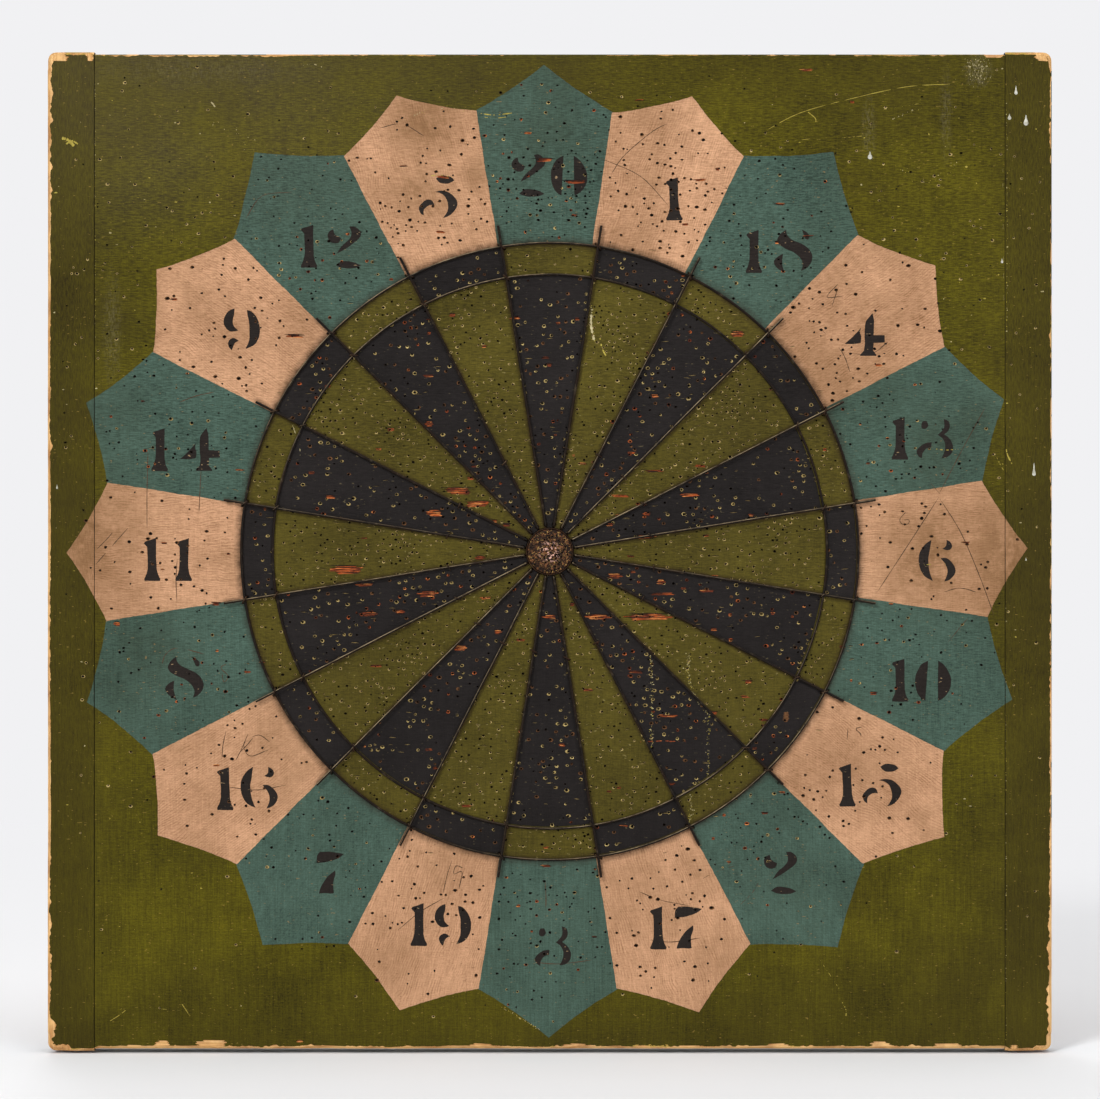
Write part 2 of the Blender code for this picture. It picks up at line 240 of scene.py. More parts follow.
def bend(start, pull, end, steps):
    """Points of a curve from start towards end, drawn towards pull."""
    start, pull, end = (Vector((x, z, 0)) for x, z in (start, pull, end))
    line = geometry.interpolate_bezier(start, start.lerp(pull, 2 / 3), end.lerp(pull, 2 / 3), end, steps)
    return [(point.x, point.y) for point in line]


def unsteady(outline, seed, step=1.5 * MM, wobble=0.2 * MM):
    """The closed outline as a hand paints it, in short steps that stray a little."""
    line = []
    for (x0, z0), (x1, z1) in zip(outline, outline[1:] + outline[:1]):
        count = max(1, round(math.hypot(x1 - x0, z1 - z0) / step))
        for i in range(count):
            at = Vector((x0 + (x1 - x0) * i / count, seed, z0 + (z1 - z0) * i / count))
            slow = Vector((at.x * 70, seed, at.z * 70))
            quick = Vector((at.x * 480, seed, at.z * 480))
            at += wobble * (noise.noise_vector(slow) + 0.55 * noise.noise_vector(quick))
            line.append((at.x, at.z))
    return line


# ---------------------------------------------------------------- materials

def tint(red, green, blue):
    """A colour written 0 to 255, as the eye reads it on a screen."""
    parts = [value / 255 for value in (red, green, blue)]
    return tuple(v / 12.92 if v <= 0.04045 else ((v + 0.055) / 1.055) ** 2.4 for v in parts) + (1.0,)


def put(tree, kind, inputs=None, **settings):
    """Adds a node; each input is given a value or another node's socket."""
    node = tree.nodes.new(kind)
    for key, value in settings.items():
        setattr(node, key, value)
    for key, value in (inputs or {}).items():
        if isinstance(value, bpy.types.NodeSocket):
            tree.links.new(value, node.inputs[key])
        else:
            node.inputs[key].default_value = value
    return node


def mix(tree, factor, first, second):
    return put(tree, "ShaderNodeMix", {0: factor, 6: first, 7: second}, data_type="RGBA").outputs[2]


def pick(tree, factor, first, second):
    return put(tree, "ShaderNodeMix", {0: factor, 2: first, 3: second}, data_type="FLOAT").outputs[0]


def math_node(tree, way, first, second=0.0):
    return put(tree, "ShaderNodeMath", {0: first, 1: second}, operation=way).outputs[0]


def ramp(tree, value, low, high, least=0.0, most_of=1.0):
    """Goes evenly from least at low to most_of at high, and stays there beyond."""
    return put(tree, "ShaderNodeMapRange", {0: value, 1: low, 2: high, 3: least, 4: most_of}).outputs[0]


def clouds(tree, vector, scale, detail=3.0, rough=0.5):
    inputs = {"Vector": vector, "Scale": scale, "Detail": detail, "Roughness": rough}
    return put(tree, "ShaderNodeTexNoise", inputs).outputs[0]


def object_place(tree):
    return put(tree, "ShaderNodeTexCoord").outputs["Object"]


def split_axes(tree, vector):
    return put(tree, "ShaderNodeSeparateXYZ", {0: vector}).outputs


def stretched(tree, x, y, z):
    return put(tree, "ShaderNodeCombineXYZ", {0: x, 1: y, 2: z}).outputs[0]


def spread(tree, vector, x, y, z):
    return put(tree, "ShaderNodeVectorMath", {0: vector, 1: (x, y, z)}, operation="MULTIPLY").outputs[0]


def chain(way):
    """A function that joins values by one sum, two at a time from the left."""
    def join(tree, first, *others):
        for other in others:
            first = math_node(tree, way, first, other)
        return first
    return join


add_up, times, less, most = (chain(way) for way in ("ADD", "MULTIPLY", "SUBTRACT", "MAXIMUM"))


def measure(tree, way, first, second=(0, 0, 0)):
    """A length, distance or dot product of two vectors."""
    return put(tree, "ShaderNodeVectorMath", {0: first, 1: second}, operation=way).outputs["Value"]


def make_group(name, inputs, outputs):
    tree = bpy.data.node_groups.new(name, "ShaderNodeTree")
    for label, default in inputs.items():
        kind = "NodeSocketColor" if isinstance(default, tuple) else "NodeSocketFloat"
        tree.interface.new_socket(label, in_out="INPUT", socket_type=kind).default_value = default
    for label in outputs:
        kind = "NodeSocketColor" if label == "Colour" else "NodeSocketFloat"
        tree.interface.new_socket(label, in_out="OUTPUT", socket_type=kind)
    return tree, tree.nodes.new("NodeGroupInput").outputs, tree.nodes.new("NodeGroupOutput").inputs


def use_group(tree, group, inputs=None):
    return put(tree, "ShaderNodeGroup", inputs, node_tree=group).outputs


# How the fibre shows: its name, how often it changes along and across the wood in a metre, and its detail
FIBRE_RUNS = (("Streak", 22.0, 900.0, 4.0), ("Fleck", 260.0, 1650.0, 2.0), ("Figure", 3.5, 75.0, 3.0))
BOARD_SHIFT = 1.37


def make_fibre_group():
    """The run of the wood: across on the panel, upright on the cleats. Streak is fine, Figure is broad."""
    tree, _, out = make_group("wood_fibre", {}, ("Streak", "Fleck", "Figure", "Cleat", "Board", "Seam"))
    place = object_place(tree)
    x, y, z = split_axes(tree, place)
    on_cleat = math_node(tree, "GREATER_THAN", math_node(tree, "ABSOLUTE", x), cleat_joint - 0.2 * MM)
    boards = [less(tree, z, joint) for joint in board_joints]
    board = add_up(tree, *[math_node(tree, "GREATER_THAN", past, 0.0) for past in boards])
    closest = math_node(tree, "MINIMUM", *[math_node(tree, "ABSOLUTE", past) for past in boards])
    shifted = add_up(tree, x, times(tree, board, BOARD_SHIFT))
    along = pick(tree, on_cleat, shifted, z)
    across = pick(tree, on_cleat, z, x)
    for label, length, thick, detail in FIBRE_RUNS:
        run = stretched(tree, times(tree, along, length), times(tree, y, thick), times(tree, across, thick))
        tree.links.new(clouds(tree, run, 1.0, detail, 0.58), out[label])
    tree.links.new(on_cleat, out["Cleat"])
    on_panel = less(tree, 1.0, on_cleat)
    tree.links.new(times(tree, math_node(tree, "PINGPONG", board, 1.0), on_panel), out["Board"])
    tree.links.new(times(tree, ramp(tree, closest, 0.8 * MM, 0.2 * MM), on_panel), out["Seam"])
    return tree


def make_stroke_group():
    """Strokes drawn outwards in each petal: their streak, the bristles' hair lines, and as Rust a brown painted shade
    beside the wires with a dark stain along the outer ring.
    """
    tree, _, out = make_group("petal_strokes", {}, ("Stroke", "Hair", "Rust"))
    place = object_place(tree)
    x, _, z = split_axes(tree, place)
    up = less(tree, z, middle_z)
    turn = math_node(tree, "ARCTAN2", x, up)
    sector = math.radians(SECTOR)
    petal = math_node(tree, "ROUND", math_node(tree, "DIVIDE", turn, sector))
    off = less(tree, turn, times(tree, petal, sector))
    reach = measure(tree, "LENGTH", stretched(tree, x, 0.0, up))
    across = times(tree, reach, math_node(tree, "SINE", off))
    along = times(tree, reach, math_node(tree, "COSINE", off))
    line = stretched(tree, times(tree, along, 55.0), times(tree, petal, 3.7), times(tree, across, 1050.0))
    sway = times(tree, clouds(tree, place, 38.0, 2.0), 55.0)
    wave = math_node(tree, "SINE", add_up(tree, times(tree, across, 4700.0), sway))
    kept = ramp(tree, clouds(tree, place, 130.0, 4.0, 0.65), 0.4, 0.68)
    tree.links.new(clouds(tree, line, 1.0, 3.0, 0.6), out["Stroke"])
    # Painted shade: darker paint close beside the radial wires, where their shadows fall, out to the wires' ends
    inside = less(tree, sector / 2, math_node(tree, "ABSOLUTE", off))
    beside = times(tree, ramp(tree, times(tree, reach, inside), 2.6 * MM, 0.7 * MM),
                   ramp(tree, reach, 184 * MM, 180 * MM))
    outer = ramp(tree, math_node(tree, "ABSOLUTE", less(tree, reach, 170.5 * MM)), 4 * MM, 0.8 * MM)
    patchy = ramp(tree, clouds(tree, place, 210.0, 5.0, 0.7), 0.2, 0.6)
    tree.links.new(times(tree, most(tree, beside, outer), patchy), out["Rust"])
    tree.links.new(times(tree, ramp(tree, wave, 0.2, 0.95), kept), out["Hair"])
    return tree


RUB_REACH = 4 * MM


def make_rim_group():
    """Along the board's outline: the ragged line of bare wood, and the soil that thickens towards it."""
    tree, _, out = make_group("outline_rub", {}, ("Bare", "Soil"))
    place = object_place(tree)
    x, _, z = split_axes(tree, place)
    side = less(tree, half_width, math_node(tree, "ABSOLUTE", x))
    foot = less(tree, z, panel_foot)
    head = less(tree, panel_head, z)
    inward = math_node(tree, "MINIMUM", side, math_node(tree, "MINIMUM", foot, head))
    patches = ramp(tree, clouds(tree, place, 26.0, 2.0), 0.46, 0.72)
    low_down = ramp(tree, z, 0.0, 0.3, 1.0, 0.45)
    ragged = clouds(tree, spread(tree, place, 240, 300, 520), 1.0, 4.0, 0.65)
    reach = times(tree, patches, low_down, RUB_REACH)
    line = times(tree, reach, ramp(tree, ragged, 0.3, 0.75))
    bare = ramp(tree, less(tree, line, inward), -0.0001, 0.0001)
    soil = ramp(tree, inward, 0.055, 0.0)
    tree.links.new(bare, out["Bare"])
    tree.links.new(soil, out["Soil"])
    return tree


# Where hands and smoke dirtied the paint: places on the sketch, how far the grime reaches and how thick it is
GRIME = ((424, 124, 60, 0.8), (476, 176, 36, 0.6), (424, 196, 56, 0.8), (549, 140, 60, 0.9), (934, 446, 74, 1.0),
         (150, 655, 70, 0.9), (1034, 560, 130, 1.0), (60, 520, 130, 1.0), (200, 308, 44, 0.4), (236, 336, 52, 0.4),
         (112, 312, 70, 1.0), (74, 420, 90, 0.8), (74, 600, 60, 0.8), (1004, 556, 40, 0.5), (936, 560, 96, 0.9),
         (866, 770, 70, 0.45), (716, 950, 52, 0.4), (392, 958, 50, 0.4), (198, 852, 32, 0.4), (975, 420, 60, 0.8),
         (118, 470, 36, 0.6), (300, 322, 46, 0.4), (640, 112, 34, 0.5), (905, 262, 44, 0.4), (440, 870, 46, 0.4),
         (128, 690, 50, 0.8), (556, 90, 44, 0.8), (850, 900, 40, 0.6), (790, 880, 70, 0.5))

# Pale chalky marks on the field: places, how far each reaches across and down, and how much it shows
HAZE = ((978, 71, 17, 20, 0.3), (869, 128, 9, 40, 0.12), (946, 112, 8, 60, 0.1), (200, 70, 150, 22, 0.08),
        (112, 330, 12, 70, 0.1))


def make_paint_group(fibre, strokes, outline_rub):
    """Old brushed paint over wood: mottled, flecked with the grain, dirty and rubbed through at the outline, with a
    painted sheen towards the upper left and a painted shade beside the wires.
    """
    inputs = {"Paint": (0.2, 0.2, 0.2, 1.0), "Shade": (0.1, 0.1, 0.1, 1.0), "Bare": (0.6, 0.4, 0.2, 1.0),
              "Soil": (0.03, 0.02, 0.01, 1.0), "Mottle": 0.35, "Streak": 0.1, "Grain": 0.4, "Brush": 0.0, "Hair": 0.0,
              "Dirt": 0.3, "Edge": 0.3, "Flecks": 0.1, "Sheen": 0.0, "Rust": 0.0, "Chalk": 0.0, "Rubbed": 1.0}
    tree, given, out = make_group("old_paint", inputs, ("Colour", "Roughness", "Height"))
    place = object_place(tree)
    x, _, z = split_axes(tree, place)
    wood = use_group(tree, fibre)
    brush = use_group(tree, strokes)
    rim = use_group(tree, outline_rub)
    mottle = ramp(tree, clouds(tree, place, 18.0, 8.0, 0.68), 0.34, 0.66)
    streak = ramp(tree, wood["Streak"], 0.36, 0.64)
    speck = clouds(tree, place, 1150.0, 3.0, 0.7)
    weave = clouds(tree, spread(tree, place, 1400, 900, 60), 1.0, 3.0, 0.6)
    low_down = ramp(tree, z, 0.36, 0.08)
    upright = times(tree, less(tree, weave, 0.5), add_up(tree, times(tree, low_down, 0.25), 0.25))
    lying = times(tree, less(tree, wood["Fleck"], 0.5), less(tree, 1.2, times(tree, low_down, 0.7)))
    speck = add_up(tree, times(tree, speck, 0.6), 0.2)
    grain = ramp(tree, add_up(tree, speck, upright, lying), 0.3, 0.7)
    stroke = ramp(tree, brush["Stroke"], 0.34, 0.66)
    effects = (("Mottle", mottle), ("Streak", streak), ("Grain", grain), ("Brush", stroke), ("Hair", brush["Hair"]))
    worn = add_up(tree, *[times(tree, shown, given[label]) for label, shown in effects])
    colour = mix(tree, worn, given["Paint"], given["Shade"])
    # Painted sheen: paler towards the upper left, where the key lamp's light falls, broken up by the mottle
    sheen_area = times(tree, ramp(tree, z, 0.43, height), ramp(tree, x, 0.06, -0.24))
    sheen = times(tree, sheen_area, ramp(tree, mottle, -0.8, 1.0), given["Sheen"])
    colour = mix(tree, sheen, colour, tint(150, 136, 110))
    blotch = ramp(tree, clouds(tree, place, 7.0, 8.0, 0.7), 0.47, 0.75)
    hand = 0.0
    for across, down, reach, thick in GRIME:
        away = measure(tree, "DISTANCE", place, on_face(across, down))
        hand = most(tree, ramp(tree, away, reach * UNIT, reach * UNIT * 0.2, 0.0, thick), hand)
    smear = times(tree, hand, ramp(tree, clouds(tree, place, 70.0, 7.0, 0.75), 0.16, 0.6))
    dirty = times(tree, most(tree, blotch, smear), given["Dirt"])
    colour = mix(tree, dirty, colour, given["Soil"])
    # Brown painted shade beside the wires, through the Rust input, with the dark stain along the outer ring
    colour = mix(tree, times(tree, brush["Rust"], given["Rust"]), colour, tint(44, 30, 18))
    chalk = 0.0
    for across, down, wide, tall, shown in HAZE:
        off = put(tree, "ShaderNodeVectorMath", {0: place, 1: on_face(across, down)}, operation="SUBTRACT").outputs[0]
        away = measure(tree, "LENGTH", spread(tree, off, 1 / (wide * UNIT), 0, 1 / (tall * UNIT)))
        chalk = most(tree, ramp(tree, away, 1.0, 0.2, 0.0, shown), chalk)
    rubbed = ramp(tree, clouds(tree, spread(tree, place, 1300, 900, 420), 1.0, 3.0, 0.7), 0.44, 0.68)
    colour = mix(tree, times(tree, chalk, rubbed, given["Chalk"]), colour, tint(196, 184, 150))
    edge = add_up(tree, times(tree, rim["Soil"], 0.5), times(tree, wood["Cleat"], 0.3))
    colour = mix(tree, times(tree, edge, given["Edge"]), colour, given["Soil"])
    flecks = ramp(tree, clouds(tree, spread(tree, place, 420, 700, 1100), 1.0, 1.0), 0.73, 0.76)
    colour = mix(tree, times(tree, flecks, given["Flecks"]), colour, given["Bare"])
    bare = times(tree, rim["Bare"], given["Rubbed"])
    colour = mix(tree, bare, colour, given["Bare"])
    rough = add_up(tree, times(tree, mottle, 0.12), times(tree, bare, 0.2), 0.5)
    ground = add_up(tree, times(tree, streak, -0.2), times(tree, grain, -0.7))
    tree.links.new(colour, out["Colour"])
    tree.links.new(rough, out["Roughness"])
    tree.links.new(less(tree, ground, bare), out["Height"])
    return tree


def make_pine_group(fibre):
    """Bare pine: paler early wood, darker lines of late wood that run with the fibre, and stain."""
    inputs = {"Pale": (0.6, 0.4, 0.2, 1.0), "Late": (0.4, 0.2, 0.1, 1.0), "Stain": (0.1, 0.06, 0.03, 1.0),
              "Lines": 0.6, "Fibre": 0.45, "Stained": 0.4, "Patch": 9.0}
    tree, given, out = make_group("bare_pine", inputs, ("Colour", "Roughness", "Height"))
    place = object_place(tree)
    wood = use_group(tree, fibre)
    rings = math_node(tree, "SINE", times(tree, wood["Figure"], 95.0))
    late = times(tree, ramp(tree, rings, 0.1, 0.95), given["Lines"])
    colour = mix(tree, late, given["Pale"], given["Late"])
    streak = ramp(tree, wood["Streak"], 0.42, 0.68)
    colour = mix(tree, times(tree, streak, given["Fibre"]), colour, given["Late"])
    blotch = ramp(tree, clouds(tree, place, given["Patch"], 7.0, 0.65), 0.45, 0.72)
    colour = mix(tree, times(tree, blotch, given["Stained"]), colour, given["Stain"])
    colour = mix(tree, times(tree, wood["Board"], 0.3), colour, given["Late"])
    colour = mix(tree, times(tree, wood["Seam"], 0.8), colour, tint(30, 18, 10))
    tree.links.new(colour, out["Colour"])
    tree.links.new(add_up(tree, times(tree, streak, 0.15), 0.62), out["Roughness"])
    tree.links.new(add_up(tree, times(tree, late, 0.4), times(tree, streak, -0.6)), out["Height"])
    return tree


# The way that the wires' painted highlight faces: up, to the left and towards the player, where the key lamp stands
HIGHLIGHT_WAY = (-0.3, -0.81, 0.5)


def make_rust_group():
    """Aged iron: a dark skin with rust in patches, a little bright metal where it is rubbed, and a painted highlight
    along the side that faces the key lamp.
    """
    inputs = {"Skin": (0.05, 0.04, 0.03, 1.0), "Rust": (0.1, 0.04, 0.02, 1.0), "Bright": (0.4, 0.38, 0.35, 1.0),
              "Rusted": 0.5, "Rubbed": 0.2, "Metal": 0.85, "Highlight": 0.0}
    tree, given, out = make_group("aged_iron", inputs, ("Colour", "Metallic", "Roughness", "Height"))
    place = object_place(tree)
    patches = clouds(tree, place, 110.0, 5.0, 0.65)
    grit = clouds(tree, place, 1500.0, 3.0, 0.6)
    rusted = times(tree, ramp(tree, patches, 0.4, 0.62), given["Rusted"])
    rubbed = times(tree, ramp(tree, clouds(tree, place, 320.0, 4.0, 0.6), 0.56, 0.7), given["Rubbed"])
    colour = mix(tree, rubbed, mix(tree, rusted, given["Skin"], given["Rust"]), given["Bright"])
    # Painted highlight: the Bright colour laid on the faces that look up and to the left, towards the key lamp, broken
    # into patches
    facing = put(tree, "ShaderNodeNewGeometry").outputs["Normal"]
    painted_highlight = ramp(tree, measure(tree, "DOT_PRODUCT", facing, HIGHLIGHT_WAY), 0.88, 0.985)
    painted_highlight = times(tree, painted_highlight, ramp(tree, clouds(tree, place, 90.0, 5.0, 0.7), 0.36, 0.66))
    colour = mix(tree, times(tree, painted_highlight, given["Highlight"]), colour, given["Bright"])
    metal = times(tree, given["Metal"], less(tree, 1.0, times(tree, rusted, 0.8)))
    rough = add_up(tree, times(tree, rusted, 0.3), times(tree, grit, 0.25))
    tree.links.new(colour, out["Colour"])
    tree.links.new(metal, out["Metallic"])
    tree.links.new(add_up(tree, rough, 0.28), out["Roughness"])
    tree.links.new(times(tree, grit, add_up(tree, rusted, 0.25)), out["Height"])
    return tree


def new_material(name):
    material = bpy.data.materials.new(name)
    material.use_nodes = True
    return material, material.node_tree, material.node_tree.nodes["Principled BSDF"]


def finish_with(name, group, inputs, bump, depth, gloss, sockets=("Colour", "Roughness")):
    """A material whose colour, roughness and relief come from a shared group with its own values."""
    material, tree, shader = new_material(name)
    made = use_group(tree, group, inputs)
    targets = {"Colour": "Base Color", "Roughness": "Roughness", "Metallic": "Metallic"}
    for label in sockets:
        tree.links.new(made[label], shader.inputs[targets[label]])
    relief = put(tree, "ShaderNodeBump", {"Strength": bump, "Distance": depth, "Height": made["Height"]})
    tree.links.new(relief.outputs[0], shader.inputs["Normal"])
    shader.inputs["Specular IOR Level"].default_value = gloss
    return material


fibre_group = make_fibre_group()
rub_group = make_rim_group()
stroke_group = make_stroke_group()
paint_group = make_paint_group(fibre_group, stroke_group, rub_group)
pine_group = make_pine_group(fibre_group)
rust_group = make_rust_group()

BARE_WOOD = (190, 148, 90)
SOIL = (50, 40, 18)


def paint_finish(name, paint, shade, bare=BARE_WOOD, soil=SOIL, gloss=0.08, **amounts):
    inputs = {"Paint": tint(*paint), "Shade": tint(*shade), "Bare": tint(*bare), "Soil": tint(*soil)}
    inputs.update({label.capitalize(): value for label, value in amounts.items()})
    return finish_with(name, paint_group, inputs, 0.5, 0.2 * MM, gloss)


def pine_finish(name, pale, late, stain, lines, stained, patch=9.0):
    inputs = {"Pale": tint(*pale), "Late": tint(*late), "Stain": tint(*stain), "Lines": lines, "Stained": stained,
              "Patch": patch}
    return finish_with(name, pine_group, inputs, 0.5, 0.3 * MM, 0.25)


# The last value is the strength of the painted highlight along the side towards the key lamp
def iron_finish(name, skin, rust, bright, rusted, rubbed, metal, painted_highlight=0.0):
    inputs = {"Skin": tint(*skin), "Rust": tint(*rust), "Bright": tint(*bright), "Rusted": rusted, "Rubbed": rubbed,
              "Metal": metal, "Highlight": painted_highlight}
    gloss = 0.1 if metal < 0.6 else 0.5
    return finish_with(name, rust_group, inputs, 0.4, 0.2 * MM, gloss, ("Colour", "Roughness", "Metallic"))


def lay_rough(tree, shader, colour, height, depth, gloss):
    """Puts a colour on a broken surface, rougher and higher with height."""
    tree.links.new(colour, shader.inputs["Base Color"])
    tree.links.new(ramp(tree, height, 0.0, 1.0, 0.6, 0.85), shader.inputs["Roughness"])
    relief = put(tree, "ShaderNodeBump", {"Strength": 0.9, "Distance": depth, "Height": height})
    tree.links.new(relief.outputs[0], shader.inputs["Normal"])
    shader.inputs["Specular IOR Level"].default_value = gloss


def make_splinter():
    """Torn wood: red-brown, darker in patches, with its fibres side by side; the bright fibres are a painted highlight
    and the dark ones painted shade between them.
    """
    material, tree, shader = new_material("splinter")
    place = object_place(tree)
    fibre = clouds(tree, spread(tree, place, 110, 500, 1900), 1.0, 3.0, 0.6)
    patch = clouds(tree, place, 170.0, 3.0, 0.6)
    colour = mix(tree, ramp(tree, patch, 0.4, 0.62), tint(96, 38, 14), tint(160, 74, 28))
    colour = mix(tree, ramp(tree, fibre, 0.56, 0.63), colour, tint(216, 142, 78))
    colour = mix(tree, ramp(tree, fibre, 0.46, 0.4), colour, tint(42, 15, 4))
    lay_rough(tree, shader, colour, fibre, 0.4 * MM, 0.2)
    return material


def make_cork():
    """The bull's end grain: brown and speckled, with rubbed pinkish patches near its middle."""
    material, tree, shader = new_material("bull_cork")
    place = object_place(tree)
    speck = clouds(tree, place, 820.0, 4.0, 0.75)
    patch = clouds(tree, place, 620.0, 3.0, 0.7)
    colour = mix(tree, ramp(tree, speck, 0.47, 0.57), tint(14, 7, 3), tint(120, 78, 46))
    colour = mix(tree, ramp(tree, clouds(tree, place, 950.0, 2.0), 0.6, 0.64), colour, tint(158, 126, 70))
    middle = measure(tree, "DISTANCE", place, dial_centre)
    soot = ramp(tree, clouds(tree, place, 420.0, 4.0, 0.6), 0.4, 0.62)
    colour = mix(tree, soot, colour, tint(28, 15, 8))
    rosy = times(tree, ramp(tree, middle, 7.8 * MM, 4 * MM), ramp(tree, patch, 0.55, 0.59))
    colour = mix(tree, rosy, colour, tint(238, 186, 168))
    lay_rough(tree, shader, colour, speck, 0.6 * MM, 0.15)
    return material


def make_drip_paint():
    material, tree, shader = new_material("drip_white")
    place = object_place(tree)
    colour = mix(tree, ramp(tree, clouds(tree, place, 500.0, 4.0), 0.35, 0.7), tint(206, 204, 190), tint(140, 136, 112))
    tree.links.new(colour, shader.inputs["Base Color"])
    tree.links.new(ramp(tree, clouds(tree, place, 900.0), 0.0, 1.0, 0.3, 0.6), shader.inputs["Roughness"])
    return material


# Each paint: its colour and its shade, the wood and the dirt that show in it, and how much it has of each effect
# The rust amount gives a brown painted shade beside the wires, with a dark stain along the outer ring; field_green and
# petal_teal also carry a pale painted sheen towards the upper left
PAINTS = {
    "field_green": dict(paint=(97, 89, 12), shade=(32, 27, 3), bare=(170, 140, 70), soil=(46, 37, 10), mottle=0.36,
                        streak=0.08, grain=0.57, dirt=0.42, edge=0.7, flecks=0.3, sheen=0.16, chalk=1.0),
    "edge_green": dict(paint=(84, 74, 16), shade=(44, 36, 8), mottle=0.35, streak=0.25, grain=0.35, dirt=0.6,
                       edge=0.3, flecks=0.8, rubbed=0.0),
    "petal_teal": dict(paint=(82, 106, 93), shade=(30, 43, 35), bare=(150, 118, 70), soil=(46, 54, 40), mottle=0.3,
                       streak=0.04, grain=0.5, brush=0.12, dirt=0.58, edge=0.2, flecks=0.4, sheen=0.06, rust=0.5),
    "petal_pink": dict(paint=(218, 169, 131), shade=(110, 72, 43), bare=(96, 62, 36), soil=(112, 80, 48), mottle=0.24,
                       streak=0.03, grain=0.36, brush=0.14, hair=0.3, dirt=0.95, edge=0.25, flecks=0.45, rust=0.75),
    "dial_green": dict(paint=(92, 82, 27), shade=(32, 27, 4), bare=(150, 136, 90), mottle=0.32, streak=0.08,
                       grain=0.48, dirt=0.3, edge=0.0, flecks=0.5, rust=0.8),
    "dial_black": dict(paint=(39, 35, 34), shade=(11, 9, 8), bare=(120, 108, 78), gloss=0.06, mottle=0.35,
                       streak=0.08, grain=0.36, dirt=0.0, edge=0.0, flecks=0.4),
    "number_black": dict(paint=(44, 38, 34), shade=(24, 20, 18), bare=(140, 118, 88), gloss=0.06, mottle=0.35,
                         streak=0.1, grain=0.5, dirt=0.0, edge=0.0, flecks=0.9),
    "pencil": dict(paint=(98, 70, 50), shade=(60, 44, 33), mottle=0.5, grain=0.6, dirt=0.2, edge=0.0, flecks=0.0),
    "scratch": dict(paint=(192, 176, 84), shade=(128, 112, 44), mottle=0.4, grain=0.6, dirt=0.2, edge=0.0, flecks=0.3),
    "scuff": dict(paint=(206, 194, 152), shade=(130, 118, 78), mottle=0.4, grain=0.6, dirt=0.2, edge=0.0, flecks=0.3),
    "hole_stain": dict(paint=(124, 86, 54), shade=(68, 42, 24), mottle=0.4, grain=0.7, dirt=0.3, edge=0.0, flecks=0.0),
}
# Each bare wood: pale and late growth, its stain, how much shows of the lines and the stain, and the patches in a metre
PINES = {
    "bare_back": ((172, 126, 78), (128, 84, 46), (76, 52, 32), 0.7, 0.55),
    "end_grain": ((150, 106, 64), (98, 64, 38), (60, 42, 26), 0.8, 0.6),
    "rubbed_edge": ((222, 178, 118), (182, 128, 68), (128, 70, 28), 0.6, 0.75, 70.0),
    "hole_rim": ((184, 162, 104), (118, 96, 50), (62, 48, 24), 0.6, 0.85, 300.0),
    # The darkest finish is no wood colour: it is painted shade for the insides of dart holes, cracks, joint gaps and
    # the holes in the wood
    "hole_dark": ((34, 20, 8), (24, 13, 5), (14, 8, 3), 0.6, 0.5),
}


def make_finishes():
    made = {name: paint_finish(name, **values) for name, values in PAINTS.items()}
    made.update({name: pine_finish(name, *values) for name, values in PINES.items()})
    made["splinter"] = make_splinter()
    return [made[name] for name in FINISHES]


# ---------------------------------------------------------------- the wood

SHOULDER = 6.6 * MM      # the joints' shoulders lie no deeper below the face than this
SEAM_SHUT = 0.15 * MM    # how far each shoulder is drawn over its joint
HOLE_FLOOR = 9.5 * MM    # holes for the wires' and staples' feet end above this depth
ARRIS = 1.2 * MM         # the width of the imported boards' eased edges


def take_wood(node, finishes):
    """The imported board, merged, with its seam shut on the face and a finish on each side."""
    bm = bmesh.new()
    bm.from_mesh(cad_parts[node].data)
    bmesh.ops.remove_doubles(bm, verts=bm.verts[:], dist=0.001 * MM)
    shoulders = [v for v in bm.verts if v.co.y < face_y + SHOULDER and abs(v.co.x) < cleat_joint]
    if node.endswith("board"):
        face_levels = [v.co.z for v in shoulders if v.co.y < face_y + 0.1 * MM]
        lowest, highest = min(face_levels), max(face_levels)
        for v in shoulders:
            if node != "bottom_board" and abs(v.co.z - lowest) < 0.05 * MM:
                v.co.z -= SEAM_SHUT
            if node != "top_board" and abs(v.co.z - highest) < 0.05 * MM:
                v.co.z += SEAM_SHUT
    low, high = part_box(node)
    for face in bm.faces:
        normal, at = face.normal, face.calc_center_median()
        rim = abs(at.x) > half_width - 6 * MM or at.z < panel_foot + 1.5 * MM or at.z > panel_head - 1.5 * MM
        if normal.y < -0.3 and at.y < face_y + ARRIS:
            finish = "field_green"
        elif normal.y > 0.3 and at.y > back_y - ARRIS:
            finish = "bare_back"
        elif rim and node.endswith("cleat") and abs(normal.z) > 0.7:
            finish = "end_grain"
        elif rim:
            finish = "edge_green"
        # The walls of the holes for the wires' and staples' feet take the painted shade
        elif at.y < face_y + HOLE_FLOOR and abs(normal.y) < 0.3 and min(abs(at.z - low.z), abs(at.z - high.z)) > MM:
            finish = "hole_dark"
        else:
            finish = "bare_back"
        face.material_index = finish_index(finish)
    return make_piece(node.replace("_board", "_plank").replace("_cleat", "_batten"), bm, finishes)


